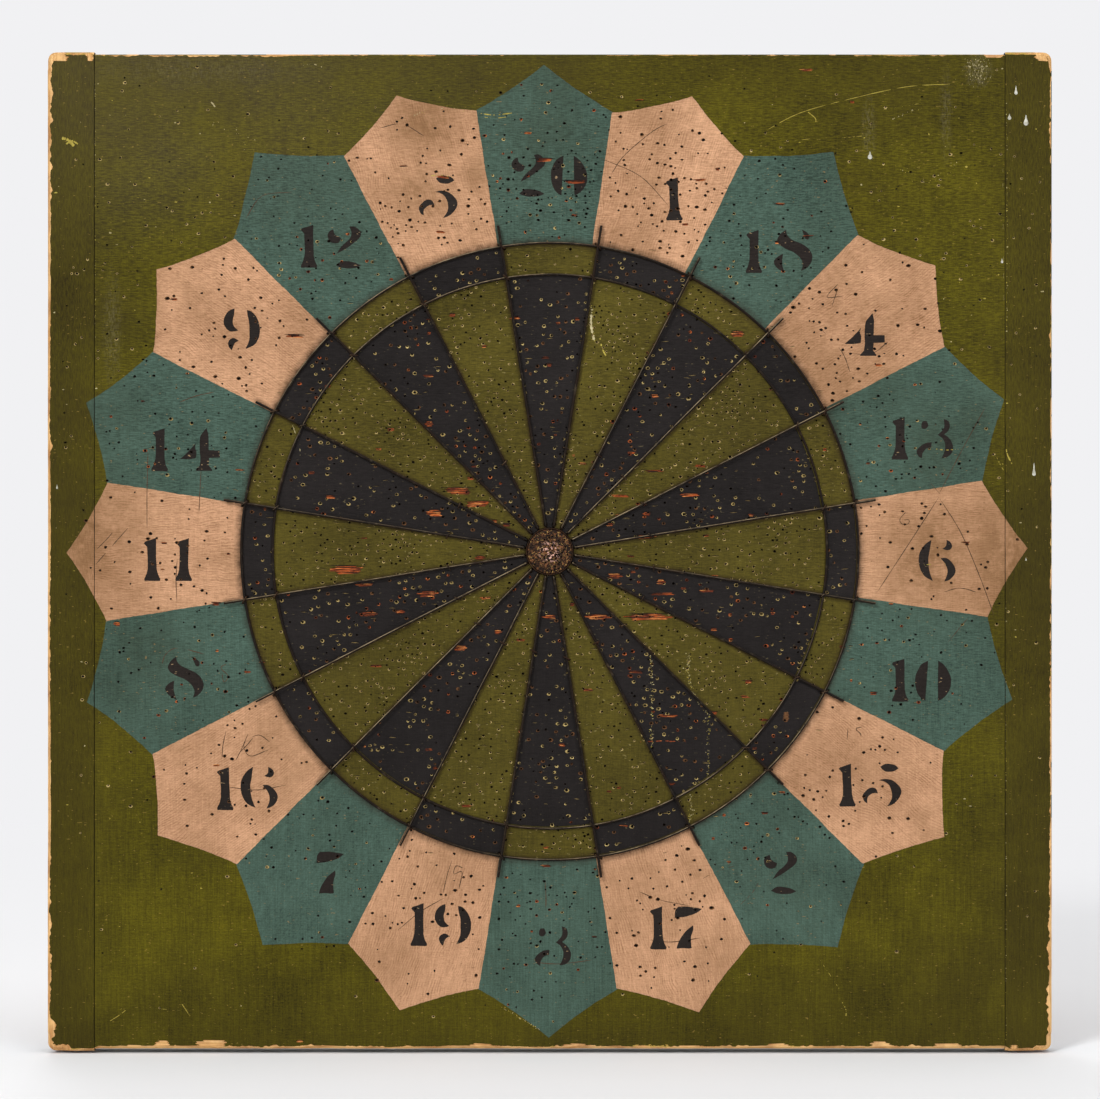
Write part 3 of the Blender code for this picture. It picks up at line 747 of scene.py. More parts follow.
def outline_stations(step=2.0 * MM, corner=4.5 * MM):
    """Places round the board's outline, clockwise from the foot of the left side, each with its way out."""
    stations = []

    def run(x0, z0, x1, z1, out):
        count = max(1, round(math.hypot(x1 - x0, z1 - z0) / step))
        for i in range(count):
            stations.append((x0 + (x1 - x0) * i / count, z0 + (z1 - z0) * i / count, out))

    def turn(x, z, start):
        for i in range(4):
            angle = math.radians(start - 90 * i / 4)
            out = Vector((math.cos(angle), 0, math.sin(angle)))
            stations.append((x + corner * out.x, z + corner * out.z, out))

    left, right = -half_width + corner, half_width - corner
    link = cleat_joint + 0.6 * MM
    head, foot = Vector((0, 0, 1)), Vector((0, 0, -1))
    run(-half_width, corner, -half_width, height - corner, Vector((-1, 0, 0)))
    turn(left, height - corner, 180)
    run(left, height, -link, height, head)
    run(-link + MM, panel_head, link - MM, panel_head, head)
    run(link, height, right, height, head)
    turn(right, height - corner, 90)
    run(half_width, height - corner, half_width, corner, Vector((1, 0, 0)))
    turn(right, corner, 0)
    run(right, 0, link, 0, foot)
    run(link - MM, panel_foot, -link + MM, panel_foot, foot)
    run(-link, 0, left, 0, foot)
    turn(left, corner, -90)
    return stations


def rubbed_depth(x, z, out):
    """How deep the arris is rubbed: most along the foot and the left side, little along the head."""
    slow = noise.noise(Vector((x * 28, 3.3, z * 28)))
    quick = noise.noise(Vector((x * 150, 9.1, z * 150)))
    fine = noise.noise(Vector((x * 420, 5.7, z * 420)))
    base = 0.95 if out.z < -0.5 or out.x < -0.5 else 0.35
    if out.x > 0.5:
        base = 0.4 + 0.6 * max(0.0, 1 - z / 0.22)
    if out.z > 0.5:
        base = 0.5 if x < -0.1 else 0.3
        if 240 * MM < x < cleat_joint:
            base = 1.2
    if abs(x) > half_width - 9 * MM and (z < 9 * MM or z > height - 9 * MM):
        base += 0.9
    return max(0.06, base * (1 + 0.6 * slow) + 0.3 * quick + 0.16 * fine) * MM


# Paint worn off beside the arris: from and to along each side and how far in, in sketch units
WORN = {
    "left": ((50, 64, 10), (56, 130, 7), (120, 240, 5), (150, 172, 8), (240, 470, 4), (440, 460, 6), (470, 700, 4),
             (700, 950, 4.5), (948, 964, 8), (960, 1030, 5), (1018, 1052, 11)),
    "right": ((50, 74, 4), (74, 200, 2.5), (118, 150, 4), (200, 600, 2), (330, 350, 3.5), (600, 900, 3),
              (660, 690, 4.5), (900, 1052, 5.5), (960, 1010, 7), (1036, 1052, 9)),
    "head": ((46, 68, 7), (66, 84, 4), (84, 95, 7), (97, 300, 3), (300, 520, 2.2), (520, 850, 1.6), (850, 960, 2),
             (985, 1006, 5), (1012, 1024, 3), (1024, 1054, 4.5)),
    "foot": ((46, 72, 10), (70, 92, 2), (97, 200, 4), (190, 520, 4), (300, 330, 5), (470, 510, 5), (520, 866, 4),
             (560, 600, 5), (866, 925, 5), (930, 1004, 4.5), (1006, 1054, 4)),
}


def worn_outlines():
    """Ragged patches along the four sides where the paint is gone from the flat of the face."""
    middle_x, middle_down = SKETCH_MIDDLE
    left, right = middle_x - half_width / UNIT, middle_x + half_width / UNIT
    joints = (middle_x - cleat_joint / UNIT, middle_x + cleat_joint / UNIT)
    outlines = []
    least, longest, over = 0.8, 90, 4
    for number, (side, ranges) in enumerate(WORN.items()):
        run = []
        along = 44.0
        while along < 1058:
            along += 0.9
            reach = 0.0
            for start, end, deep in ranges:
                if start <= along <= end:
                    reach = max(reach, deep * min(1.0, (along - start) / 5, (end - along) / 5) ** 0.5)
            rough = 0.6
            for pitch, share in ((0.06, 0.55), (0.22, 0.4), (0.7, 0.12)):
                rough += share * noise.noise(Vector((along * pitch, number * 7.3, 1.9)))
            reach *= max(0.0, rough)
            within = joints[0] < along < joints[1]
            if reach > least:
                if side in ("left", "right"):
                    line, way = (left, 1) if side == "left" else (right, -1)
                    run.append((spot(line - over * way, along), spot(line + reach * way, along)))
                else:
                    line = panel_head if within else height
                    way = 1
                    if side == "foot":
                        line, way = (panel_foot if within else 0.0), -1
                    line = middle_down - (line - middle_z) / UNIT
                    run.append((spot(along, line - over * way), spot(along, line + reach * way)))
            if run and (reach <= least or len(run) > longest):
                if len(run) > 2:
                    outlines.append(([outer for outer, inner in run] + [inner for outer, inner in reversed(run)],
                                     0.1 * MM, "rubbed_edge"))
                run = run[-1:] if reach > least else []
    return outlines


def rub_edges(woods):
    """Rubs the front arris all round through to bare wood, in one uneven sweep."""
    half = 5 * MM
    frames = []
    for x, z, out in outline_stations():
        diagonal = (out + FRONT).normalized()
        across = (out - FRONT).normalized()
        along = diagonal.cross(across)
        axes = Matrix((diagonal, across, along)).transposed().to_4x4()
        middle = Vector((x, face_y, z)) + diagonal * (half - rubbed_depth(x, z, out))
        square = Matrix.Rotation(math.pi / 4, 4, "Z") @ Matrix.Scale(half * math.sqrt(2), 4)
        frames.append(Matrix.Translation(middle) @ axes @ square)
    cutter = bmesh.new()
    sweep(cutter, frames, 4, closed=True)
    for face in cutter.faces:
        face.material_index = finish_index("rubbed_edge")
    for wood in woods:
        carve(wood, cutter.copy())
    cutter.free()


# ---------------------------------------------------------------- the painted face

def petal_edges(rng):
    """Where the painter put each boundary and waist: a little off the even eighteen degrees."""
    turns = [SECTOR * (i - 0.5) + rng.uniform(-0.25, 0.25) for i in range(SECTORS)]
    waists = [WAIST_REACH + rng.uniform(-4, 4) for _ in range(SECTORS)]
    return turns, waists


def petal_outline(i, turns, waists, spread=0.0):
    """Petal i, clockwise from the top: five sides, the two outer ones a little hollow."""
    following = (i + 1) % SECTORS
    left, right = turns[i] - spread, turns[following] + (360 if following == 0 else 0) + spread
    middle = SECTOR * i
    tip = painted(middle, TIP_REACH[i])
    pull_left = painted(middle - 4.6, (waists[i] + TIP_REACH[i]) / 2 - PETAL_HOLLOW)
    pull_right = painted(middle + 4.6, (waists[following] + TIP_REACH[i]) / 2 - PETAL_HOLLOW)
    rise = bend(painted(left, waists[i]), pull_left, tip, 9)
    fall = bend(tip, pull_right, painted(right, waists[following]), 9)
    return [painted(left, PETAL_FOOT)] + rise + fall[1:] + [painted(right, PETAL_FOOT)]


def ring_wedge(left, right, inner, outer, steps=10):
    """A piece of a ring between two turns, in painter's degrees and sketch units."""
    turns = [left + (right - left) * i / steps for i in range(steps + 1)]
    return ([painted(turn, outer, DIAL_CENTRE) for turn in turns]
            + [painted(turn, inner, DIAL_CENTRE) for turn in reversed(turns)])


# Stencil islands of each figure, in sketch units from its middle; a third value marks a sharp corner
FIGURES = {
    0: (((-5, 20, 1), (-12, 16), (-17, 7), (-18, -1), (-16.5, -10), (-12.5, -17), (-7.5, -20, 1)),
        ((5, 20, 1), (11.5, 15), (17, 6), (18.3, -2), (16.5, -10), (11, -17), (5, -20, 1))),
    1: (((-4.6, 12.5, 1), (-7.8, 16.2, 1), (-6.8, 17.9, 1), (4.6, 21.5, 1), (4.6, -9), (8.2, -19.2, 1),
         (7.6, -21.3, 1), (-8, -21.3, 1), (-8.4, -19.2, 1), (-4.6, -9)),),
    2: (((-16.5, 12), (-14, 16.5), (-10.5, 18, 1), (-9, 13), (-3, 9.5, 1), (-5, 5), (-10, 4), (-14.5, 6.5)),
        ((5.5, 20.5, 1), (10.5, 20.8), (15.5, 17), (17, 12.5), (14.5, 8), (8, 3), (1, -2), (-7.5, -6.5, 1),
         (-2.5, 1), (3, 6), (6.5, 10), (7.5, 15)),
        ((-8.5, -18, 1), (-3, -14.2), (4, -14), (11, -15.5), (16.8, -18.5, 1), (11, -20.8), (3, -21.3), (-4, -20.3))),
    3: (((-14, 13), (-12.5, 17.3), (-8.5, 17.5, 1), (-7, 13), (-9.5, 9.8), (-13, 10)),
        ((8.5, 19.8, 1), (13.5, 17.5), (14.8, 12), (12.5, 7), (9, 4.2, 1), (14.5, 0), (18, -7), (17, -14),
         (12, -18.5), (6.5, -19.3, 1), (9.8, -12), (10, -5), (7, 0.5), (2.5, 3.6, 1), (7, 8), (9.3, 13)),
        ((-3.5, -4, 1), (-9, -4.5), (-15, -8), (-18.5, -13), (-16.5, -18), (-13, -19.8, 1), (-12.5, -15),
         (-9, -10.5), (-4, -9, 1))),
    4: (((7, 21.5, 1), (8.6, 14, 1), (8.6, -0.5, 1), (19.5, -0.9, 1), (19.8, -8, 1), (9, -8.5, 1), (8.6, -16, 1),
         (12.2, -20.3, 1), (12, -21.5, 1), (-4.3, -21.5, 1), (-4, -20, 1), (-0.4, -16, 1), (0.2, -8.5, 1),
         (-0.5, 0), (0, 12), (3, 17)),
        ((-3.8, 7, 1), (-5, 2), (-3.6, -2), (-4, -8.5, 1), (-11, -9.8), (-20, -9.3, 1), (-14, -4), (-8, 2))),
    5: (((-2, 18, 1), (3, 21), (8, 20.8), (13, 19.5), (16.3, 16.3, 1), (11, 13.3), (5, 13), (1, 14.5)),
        ((-3, 4.6, 1), (3, 6), (10, 4.5), (16, 0), (19.5, -6), (17.5, -13), (12, -19), (5, -21.5, 1), (9.5, -15),
         (10, -8), (7.5, -1), (3, 3)),
        ((-3.5, -9, 1), (-6, -4), (-11, -3), (-16, -6.5), (-19, -11), (-17.5, -16.5), (-14.2, -18.8, 1), (-14, -13),
         (-10.5, -9.5), (-6.5, -8.4))),
    6: (((-6, 20.8, 1), (-12.5, 16), (-17.5, 8), (-18.5, 0), (-17, -8), (-12, -16), (-3.5, -20.5, 1), (-7, -12),
         (-8.5, -4), (-8.5, 4), (-7, 12)),
        ((9.3, 20.8, 1), (13, 18.5), (15, 15), (14, 11.5), (10.5, 10), (5.2, 11.6, 1), (9, 14.5)),
        ((3.5, 2, 1), (9, 2.5), (15, -2), (18.5, -8), (17.5, -14), (13, -19), (7.5, -20.8, 1), (10, -15),
         (10.5, -9), (8, -3))),
    7: (((-13.3, 9.3, 1), (-12.8, 17), (-10, 20.7, 1), (0, 21), (13.8, 18.7, 1), (8, 14.3), (-2, 11), (-9, 10)),
        ((5, 2.3, 1), (5.5, -2), (3.2, -10), (4, -20.6, 1), (1, -21), (-5, -20.5), (-11.2, -21, 1), (-9, -14),
         (-4, -6), (1, -1))),
    8: (((-7.3, 20.8, 1), (-12.5, 17), (-16, 11), (-14, 6), (-7, 1.5), (0, -1.5), (6, -6), (9.5, -11), (10, -16),
         (8.2, -20.2, 1), (13, -18.5), (18, -13), (19.5, -6), (16.5, 0.5), (10.5, 5.5), (3, 9), (-3, 12), (-6.5, 16)),
        ((8.3, 21.2, 1), (13, 18.5), (16, 15), (14.8, 11, 1), (12, 12), (10.3, 16)),
        ((-9.6, -3.2, 1), (-14.5, -5.5), (-19, -10.5), (-17, -16), (-12, -20), (-8, -22.2, 1), (-10.3, -15),
         (-10.5, -9))),
    9: (((-7.3, 20.8, 1), (-13.5, 18), (-17.5, 11.5), (-18, 5), (-14, -1), (-9, -2.5), (-3.6, -1.2, 1), (-8, 3),
         (-9, 9), (-7.5, 15)),
        ((5.2, 18.8, 1), (10, 17.5), (15.5, 11), (18, 3), (17.5, -6), (13.5, -14), (8, -17.8), (3, -19.6, 1),
         (7, -11), (7.5, -2), (7.5, 6), (6, 13)),
        ((-3.2, -11.8, 1), (-8, -8.8), (-12.5, -10.5), (-14.3, -14), (-13, -18.5), (-10.3, -21.2, 1), (-9, -17),
         (-7, -13.5))),
}
FIGURE_GAPS = {20: (-21, 20), 18: (-25, 14), 13: (-22, 13), 10: (-20, 13), 15: (-23, 12), 17: (-14, 16), 19: (-22, 12),
               16: (-22, 12), 11: (-15, 17), 14: (-24, 16), 12: (-22, 13)}


def flowing(island, steps=4):
    """The island's outline, smooth through its plain points and sharp at its corners."""
    count = len(island)
    points = [Vector((point[0], point[1], 0)) for point in island]
    sharp = [len(point) > 2 for point in island]
    pulls = [Vector((0, 0, 0)) if sharp[i] else (points[(i + 1) % count] - points[i - 1]) / 6 for i in range(count)]
    line = []
    for i in range(count):
        j = (i + 1) % count
        if sharp[i] and sharp[j]:
            line.append(points[i])
            continue
        handles = (points[i], points[i] + pulls[i], points[j] - pulls[j], points[j])
        line += geometry.interpolate_bezier(*handles, steps)[:-1]
    return line


def number_outlines(rng):
    """Every island of every number on the face, each cut a little unlike the others."""
    outlines = []
    for number, (across, down) in zip(NUMBERS, NUMBER_SPOTS):
        digits = [int(digit) for digit in str(number)]
        for digit, shift in zip(digits, FIGURE_GAPS.get(number, (0,))):
            lean = rng.uniform(-0.03, 0.03)
            lift = rng.uniform(-0.8, 0.8)
            for island in FIGURES[digit]:
                line = []
                for point in flowing(island):
                    x = point.x + lean * point.y
                    line.append(spot(across + shift + x, down - lift - point.y))
                outlines.append(unsteady(line, rng.uniform(0, 50), 0.8 * MM, 0.22 * MM))
    return outlines


def paint_face(woods, rng):
    """Lets the colours into the face, from the petals inwards, and the numbers last."""
    turns, waists = petal_edges(rng)
    teal = [petal_outline(i, turns, waists, 0.25) for i in range(0, SECTORS, 2)]
    pink = [petal_outline(i, turns, waists) for i in range(1, SECTORS, 2)]
    dial = [[painted(turn, DIAL_REACH, DIAL_CENTRE) for turn in range(0, 360, 3)]]
    black = []
    for i in range(SECTORS):
        left, right = (SECTOR * (i + side) - PAINT_TURN + rng.uniform(-0.15, 0.15) for side in (-0.5, 0.5))
        if i % 2:
            black.append(ring_wedge(left, right, BAND_INNER, DIAL_REACH - 1.2))
        else:
            black.append(ring_wedge(left, right, WEDGE_FOOT, WEDGE_REACH))
    layers = [(teal, TEAL_DEPTH, "petal_teal"), (pink, PINK_DEPTH, "petal_pink"), (dial, DIAL_DEPTH, "dial_green"),
              (black, BLACK_DEPTH, "dial_black")]
    by_hand = {"petal_teal": (0.9 * MM, 0.36 * MM), "petal_pink": (0.9 * MM, 0.36 * MM)}
    layers = [([unsteady(outline, i * 3.7, *by_hand.get(finish, ())) for i, outline in enumerate(outlines)],
               depth, finish) for outlines, depth, finish in layers]
    layers.append((number_outlines(rng), NUMBER_DEPTH, "number_black"))
    for outlines, depth, finish in layers:
        for wood in woods:
            carve(wood, gather(add_prism, [(outline, depth, finish) for outline in outlines]))


def region(x, z):
    """The colour at a place on the face."""
    across = x / UNIT + SKETCH_MIDDLE[0] - PAINT_CENTRE[0]
    up = (z - middle_z) / UNIT - SKETCH_MIDDLE[1] + PAINT_CENTRE[1]
    reach = math.hypot(across, up)
    turn = (math.degrees(math.atan2(across, up)) - PAINT_TURN) % 360
    petal = int((turn + SECTOR / 2) // SECTOR) % SECTORS
    if reach < DIAL_REACH:
        return "dial_black" if (petal % 2 == 1) == (reach > BAND_LINE) else "dial_green"
    off = abs((turn + SECTOR / 2) % SECTOR - SECTOR / 2) / (SECTOR / 2)
    if reach < TIP_REACH[petal] + (WAIST_REACH - TIP_REACH[petal]) * off:
        return "petal_pink" if petal % 2 else "petal_teal"
    return "field_green"


# ---------------------------------------------------------------- darts and wear

# Strikes tried in each petal, clockwise from the top, and how often the paint broke round a hole
PETAL_HOLES = (170, 120, 84, 76, 70, 40, 54, 48, 62, 66, 92, 60, 56, 48, 50, 44, 58, 62, 76, 96)
RIM_CHANCE = {"dial_black": 0.85, "dial_green": 0.72, "petal_teal": 0.3, "petal_pink": 0.5, "field_green": 0.65}
# Least, greatest and commonest in millimetres: the hole's radius, and how much wider the broken rim is
HOLE_SIZE = {"petal_pink": (0.36, 0.95, 0.55), "petal_teal": (0.32, 0.85, 0.5), "dial_green": (0.3, 0.75, 0.48),
             "dial_black": (0.4, 0.85, 0.56), "field_green": (0.34, 0.75, 0.48)}
RIM_WIDTH = {"dial_black": (0.18, 0.48, 0.28)}
PLAIN_RIM = (0.09, 0.4, 0.18)
ROOM = 1.5                # holes keep this many times their own radius clear
SQUARE = 4 * MM           # holes are looked up by squares of this size
BULL_CLEAR = 17 * MM
DIAL_STRIKES = 6000
DIAL_LIMIT = 303
FIELD_STRIKES = 1100
GROUPS = 150


def dart_holes(rng):
    """Where darts struck: X, Z, the hole's radius, the radius of the broken rim or nothing, and the colour there."""
    holes, squares = [], {}

    def strike(x, z):
        colour = region(x, z)
        if colour == "dial_black" and rng.random() < 0.45:
            return
        radius = rng.triangular(*HOLE_SIZE[colour]) * MM
        rim = 0.0
        if rng.random() < RIM_CHANCE[colour]:
            rim = radius + rng.triangular(*RIM_WIDTH.get(colour, PLAIN_RIM)) * MM
        wide = max(radius, rim) * ROOM
        if abs(abs(x) - cleat_joint) < wide + 0.3 * MM or math.hypot(x, z - middle_z) < BULL_CLEAR:
            return
        column, row = int(x // SQUARE), int(z // SQUARE)
        around = [hole for i in (-1, 0, 1) for j in (-1, 0, 1) for hole in squares.get((column + i, row + j), ())]
        if all(math.hypot(x - hole[0], z - hole[1]) > wide + max(hole[2:4]) * ROOM + 0.1 * MM for hole in around):
            holes.append((x, z, radius, rim, colour))
            squares.setdefault((column, row), []).append(holes[-1])

    groups = [(rng.uniform(0, 360), 296 * rng.random() ** 0.6) for _ in range(GROUPS)]
    for i in range(DIAL_STRIKES):
        turn, reach = rng.uniform(0, 360), DIAL_LIMIT * rng.random() ** 0.56
        if i % 3 == 0:
            turn, reach = groups[i % GROUPS]
            turn, reach = turn + rng.gauss(0, 600) / (reach + 60), reach + rng.gauss(0, 9)
        if reach < DIAL_LIMIT:
            strike(*painted(turn, reach, DIAL_CENTRE))
    for petal, count in enumerate(PETAL_HOLES):
        for _ in range(count):
            turn = petal * SECTOR + rng.uniform(-8.7, 8.7)
            strike(*painted(turn, rng.triangular(310, TIP_REACH[petal], 350)))
    for _ in range(FIELD_STRIKES):
        across, down = rng.uniform(60, 1040), rng.triangular(64, 1040, 160)
        if math.hypot(across - 548, down - 551) > 440 and rng.random() < 0.75:
            strike(*spot(across, down))
    return holes


def add_pit(bm, x, z, top, bottom, depth, sides, finish, rng, ragged, stretch):
    """A little funnel into the face, wider at the top."""
    proud = 0.3 * MM
    spread = top + (top - bottom) * proud / depth
    way = Matrix.Translation((x, face_y + (depth - proud) / 2, z)) @ Matrix.Diagonal((stretch, 1, 1, 1))
    way = way @ Matrix.Rotation(rng.uniform(0, math.tau), 4, "Y") @ Matrix.Rotation(-math.pi / 2, 4, "X")
    made = bmesh.ops.create_cone(bm, cap_ends=True, segments=sides, radius1=spread, radius2=bottom,
                                 depth=depth + proud, matrix=way)
    for vert in made["verts"]:
        vert.co += Vector((rng.uniform(-ragged, ragged), 0, rng.uniform(-ragged, ragged)))
    for face in {face for vert in made["verts"] for face in vert.link_faces}:
        face.material_index = finish_index(finish)


def near(wood, x, z, slack=2 * MM):
    """Whether a place on the face lies on a board or close beside it."""
    low, high = wood.bound_box[0], wood.bound_box[6]
    return low[0] - slack < x < high[0] + slack and low[2] - slack < z < high[2] + slack


def strike_face(woods, rng):
    """Cuts the broken rims first and the holes through them."""
    holes = dart_holes(rng)
    rim_finishes = {"petal_teal": ("hole_rim", "splinter"), "petal_pink": ("hole_stain",), "dial_green": ("hole_rim",),
                    "dial_black": ("hole_rim",) * 4 + ("hole_stain",) * 2 + ("splinter",), "field_green": ("hole_rim",)}
    for wood in woods:
        rims, pits = [], []
        for x, z, radius, rim, colour in holes:
            if not near(wood, x, z):
                continue
            picks = random.Random(f"{x:.6f} {z:.6f}")
            long = picks.choice((1.0, 1.1, 1.2, 1.3, 1.45))
            if rim:
                finish = picks.choice(rim_finishes[colour])
                rims.append((x, z, rim, rim * 0.75, 0.2 * MM, 6, finish, picks, 0.13 * MM, long))
            # Each pit sits mostly above the middle of its pale rim, so the bare wood of the rim shows as a crescent
            # below it: a painted highlight of the pit's lit lower wall
            aside, turn = picks.uniform(0.2, 1.1) * max(0.0, rim - radius), picks.uniform(-1.9, 1.9)
            pits.append((x + aside * math.sin(turn), z + aside * math.cos(turn), radius, 0.0,
                         picks.uniform(2.4, 4.0) * MM, 7, "hole_dark", picks, 0.2 * radius, min(long, 1.3)))
        carve(wood, gather(add_pit, rims))
        carve(wood, gather(add_pit, pits))


def drawn(points, steps=6):
    """A smooth open line through places on the sketch, as X and Z on the face."""
    line = [Vector((across, down, 0)) for across, down in points]
    ends = [line[0] * 2 - line[1]] + line + [line[-1] * 2 - line[-2]]
    smooth = []
    for before, start, end, after in zip(ends, ends[1:], ends[2:], ends[3:]):
        handles = (start, start + (end - before) / 6, end - (after - start) / 6, end)
        smooth += geometry.interpolate_bezier(*handles, steps)[:-1]
    return [spot(point.x, point.y) for point in smooth + [line[-1]]]


def ribbon(line, width, rng):
    """A thin closed outline along a line, uneven in width and narrow at both ends."""
    left, right = [], []
    for i, (x, z) in enumerate(line):
        before, after = line[max(i - 1, 0)], line[min(i + 1, len(line) - 1)]
        along = Vector((after[0] - before[0], after[1] - before[1])).normalized()
        wide = width / 2 * (0.3 if i in (0, len(line) - 1) else rng.uniform(0.6, 1.25))
        left.append((x - along.y * wide, z + along.x * wide))
        right.append((x + along.y * wide, z - along.x * wide))
    return left + right[::-1]


def dashes(line, rng, shown=0.6):
    """A line broken where the point skipped."""
    runs, run = [], []
    for place in line:
        if rng.random() < shown:
            run.append(place)
            continue
        if len(run) > 1:
            runs.append(run)
        run = []
    return runs + ([run] if len(run) > 1 else [])


def crumbs(line, width, rng, shown=0.7, apart=0.42 * MM):
    """Crumbs of paint knocked off along a line."""
    chips = []
    for (x0, z0), (x1, z1) in zip(line, line[1:]):
        for i in range(max(1, round(math.hypot(x1 - x0, z1 - z0) / apart))):
            if rng.random() > shown:
                continue
            along = rng.random()
            x = x0 + (x1 - x0) * along + rng.gauss(0, width / 2)
            z = z0 + (z1 - z0) * along + rng.gauss(0, width / 4)
            chips.append(chip(x, z, rng.uniform(0.14, 0.38) * MM, rng, rng.uniform(0.6, 1.4)))
    return chips


def chip(x, z, size, rng, stretch):
    """A small broken outline, stretched across."""
    turns = [math.tau * (i + rng.uniform(-0.3, 0.3)) / 5 for i in range(5)]
    return [(x + size * stretch * rng.uniform(0.6, 1.2) * math.sin(turn),
             z + size * rng.uniform(0.6, 1.2) * math.cos(turn)) for turn in turns]


# Pencil lines left from laying out the face, and small figures beside the stencilled ones
PENCIL_LINES = (
    ((612, 173), (622, 158), (638, 143), (658, 128), (682, 118)), ((600, 158), (640, 176), (668, 205)),
    ((939, 497), (910, 542), (878, 591)), ((940, 499), (960, 531), (978, 572), (994, 615)),
    ((985, 408), (962, 450), (939, 494)), ((918, 468), (939, 493)), ((948, 642), (968, 618)),
    ((906, 512), (900, 519), (902, 524), (908, 524), (909, 520), (904, 520)), ((944, 592), (960, 588), (976, 592)),
    ((96, 564), (112, 546), (128, 528)), ((97, 549), (106, 540), (114, 531)), ((148, 452), (147, 490), (147, 528)),
    ((201, 470), (200, 490), (199, 512)), ((177, 560), (176, 580), (177, 602)), ((226, 731), (223, 745), (222, 758)),
    ((248, 734), (242, 748), (236, 760)), ((253, 738), (246, 746), (240, 752)),
    ((270, 742), (258, 735), (244, 744), (250, 756), (268, 750)), ((228, 787), (258, 790), (286, 785)),
    ((162, 664), (166, 654), (178, 648), (204, 654)), ((226, 664), (221, 668), (228, 676), (224, 682), (222, 674)),
    ((838, 284), (827, 297), (843, 296)), ((838, 288), (832, 306)), ((848, 728), (847, 740)),
    ((862, 727), (856, 729), (861, 735), (856, 741)), ((452, 860), (447, 876), (443, 893)),
    ((463, 868), (456, 866), (454, 874), (462, 872), (459, 889)), ((398, 930), (420, 912), (444, 898)),
    ((640, 892), (660, 900), (690, 906)), ((650, 940), (672, 942), (700, 938)), ((545, 918), (546, 900), (545, 880)),
    ((520, 960), (556, 964), (592, 960)), ((246, 218), (262, 196), (292, 192)), ((180, 402), (196, 396), (214, 392)),
    ((380, 128), (402, 124), (424, 136)), ((822, 330), (842, 352), (850, 372)), ((888, 342), (870, 354), (838, 352)),
)
# Long scratches: points along each, its width in millimetres, how much of it shows, and its finish
SCRATCHES = (
    (((765, 131), (800, 113), (850, 99), (905, 87), (950, 84)), 0.36, 0.9, "scratch"),
    (((808, 112), (815, 118), (816, 122)), 0.5, 1.0, "scratch"),
    (((640, 742), (665, 741), (690, 742)), 0.7, 0.75, "splinter"),
    (((592, 309), (591, 324), (594, 340)), 1.4, 0.9, "scuff"),
    (((600, 338), (602, 348), (606, 356)), 0.9, 0.9, "scratch"),
    (((290, 418), (300, 450), (296, 474)), 0.4, 0.5, "scuff"), (((966, 66), (976, 67), (990, 66)), 0.5, 0.5, "scuff"),
    (((1006, 449), (1008, 456), (1012, 464)), 0.7, 0.9, "scratch"),
    (((996, 456), (1000, 464), (1004, 471)), 0.4, 0.8, "scratch"),
    (((936, 449), (946, 450), (962, 449)), 0.5, 0.7, "scratch"),
    (((922, 565), (940, 564), (962, 565)), 0.5, 0.5, "scratch"),
    (((478, 113), (494, 115), (512, 113)), 0.7, 0.8, "scratch"),
    (((482, 117), (496, 118), (506, 117)), 0.4, 0.7, "scratch"),
    (((430, 176), (440, 175), (452, 177)), 0.5, 0.6, "scratch"),
    (((700, 880), (716, 872), (734, 866)), 0.3, 0.7, "pencil"),
    (((740, 905), (752, 893), (760, 880)), 0.3, 0.7, "pencil"),
    (((62, 138), (68, 140), (74, 146)), 1.6, 0.95, "scratch"),
    (((66, 144), (72, 141), (78, 144)), 1.0, 0.95, "scratch"),
    (((842, 138), (852, 137), (862, 136)), 0.35, 0.8, "scratch"),
    (((760, 146), (780, 143), (830, 136)), 0.4, 0.5, "scratch"),
    (((882, 110), (905, 106), (922, 103)), 0.28, 0.7, "scratch"),
    (((898, 170), (930, 166), (960, 166)), 0.4, 0.5, "scratch"),
    (((1003, 130), (1003, 200), (1004, 300)), 0.4, 0.4, "scuff"),
    (((100, 1012), (140, 1008), (200, 1012)), 0.3, 0.4, "scratch"),
    (((110, 1021), (118, 1016), (126, 1010)), 0.4, 0.9, "scratch"),
    (((182, 1004), (186, 1010), (190, 1016)), 0.5, 0.9, "scratch"),
    (((820, 960), (832, 978), (840, 990)), 0.3, 0.6, "scratch"),
    (((842, 1002), (846, 1010), (846, 1016)), 0.6, 0.8, "scratch"),
    (((211, 102), (213, 104), (215, 107)), 0.8, 1.0, "scuff"), (((300, 66), (312, 64), (322, 67)), 0.6, 0.6, "scuff"),
)
# Rows of crumbs of paint: points along each, its width in millimetres and how much of it shows
CRUMB_ROWS = (
    (((650, 648), (652, 690), (652, 748)), 1.0, 0.95), (((690, 655), (688, 672), (692, 690)), 1.0, 0.95),
    (((692, 690), (702, 708), (710, 716)), 0.8, 0.6), (((708, 716), (708, 750), (708, 778)), 1.2, 0.6),
    (((690, 790), (691, 808), (690, 826)), 1.3, 0.95), (((592, 306), (591, 322), (594, 342)), 1.0, 0.9),
    (((1006, 92), (1007, 160), (1007, 330)), 0.4, 0.2), (((1006, 600), (1006, 800), (1006, 1040)), 0.4, 0.12),
    (((95, 60), (95, 200), (95, 340)), 0.3, 0.12), (((400, 120), (440, 108), (470, 112)), 2.2, 0.2),
    (((500, 1006), (520, 1018), (540, 1030)), 0.7, 0.6), (((900, 170), (930, 182), (960, 160)), 3.0, 0.2),
    (((890, 120), (910, 112), (925, 108)), 0.9, 0.3), (((689, 652), (687, 668), (690, 684)), 1.6, 0.8),
    (((200, 118), (236, 132), (250, 160)), 3.0, 0.15),
)
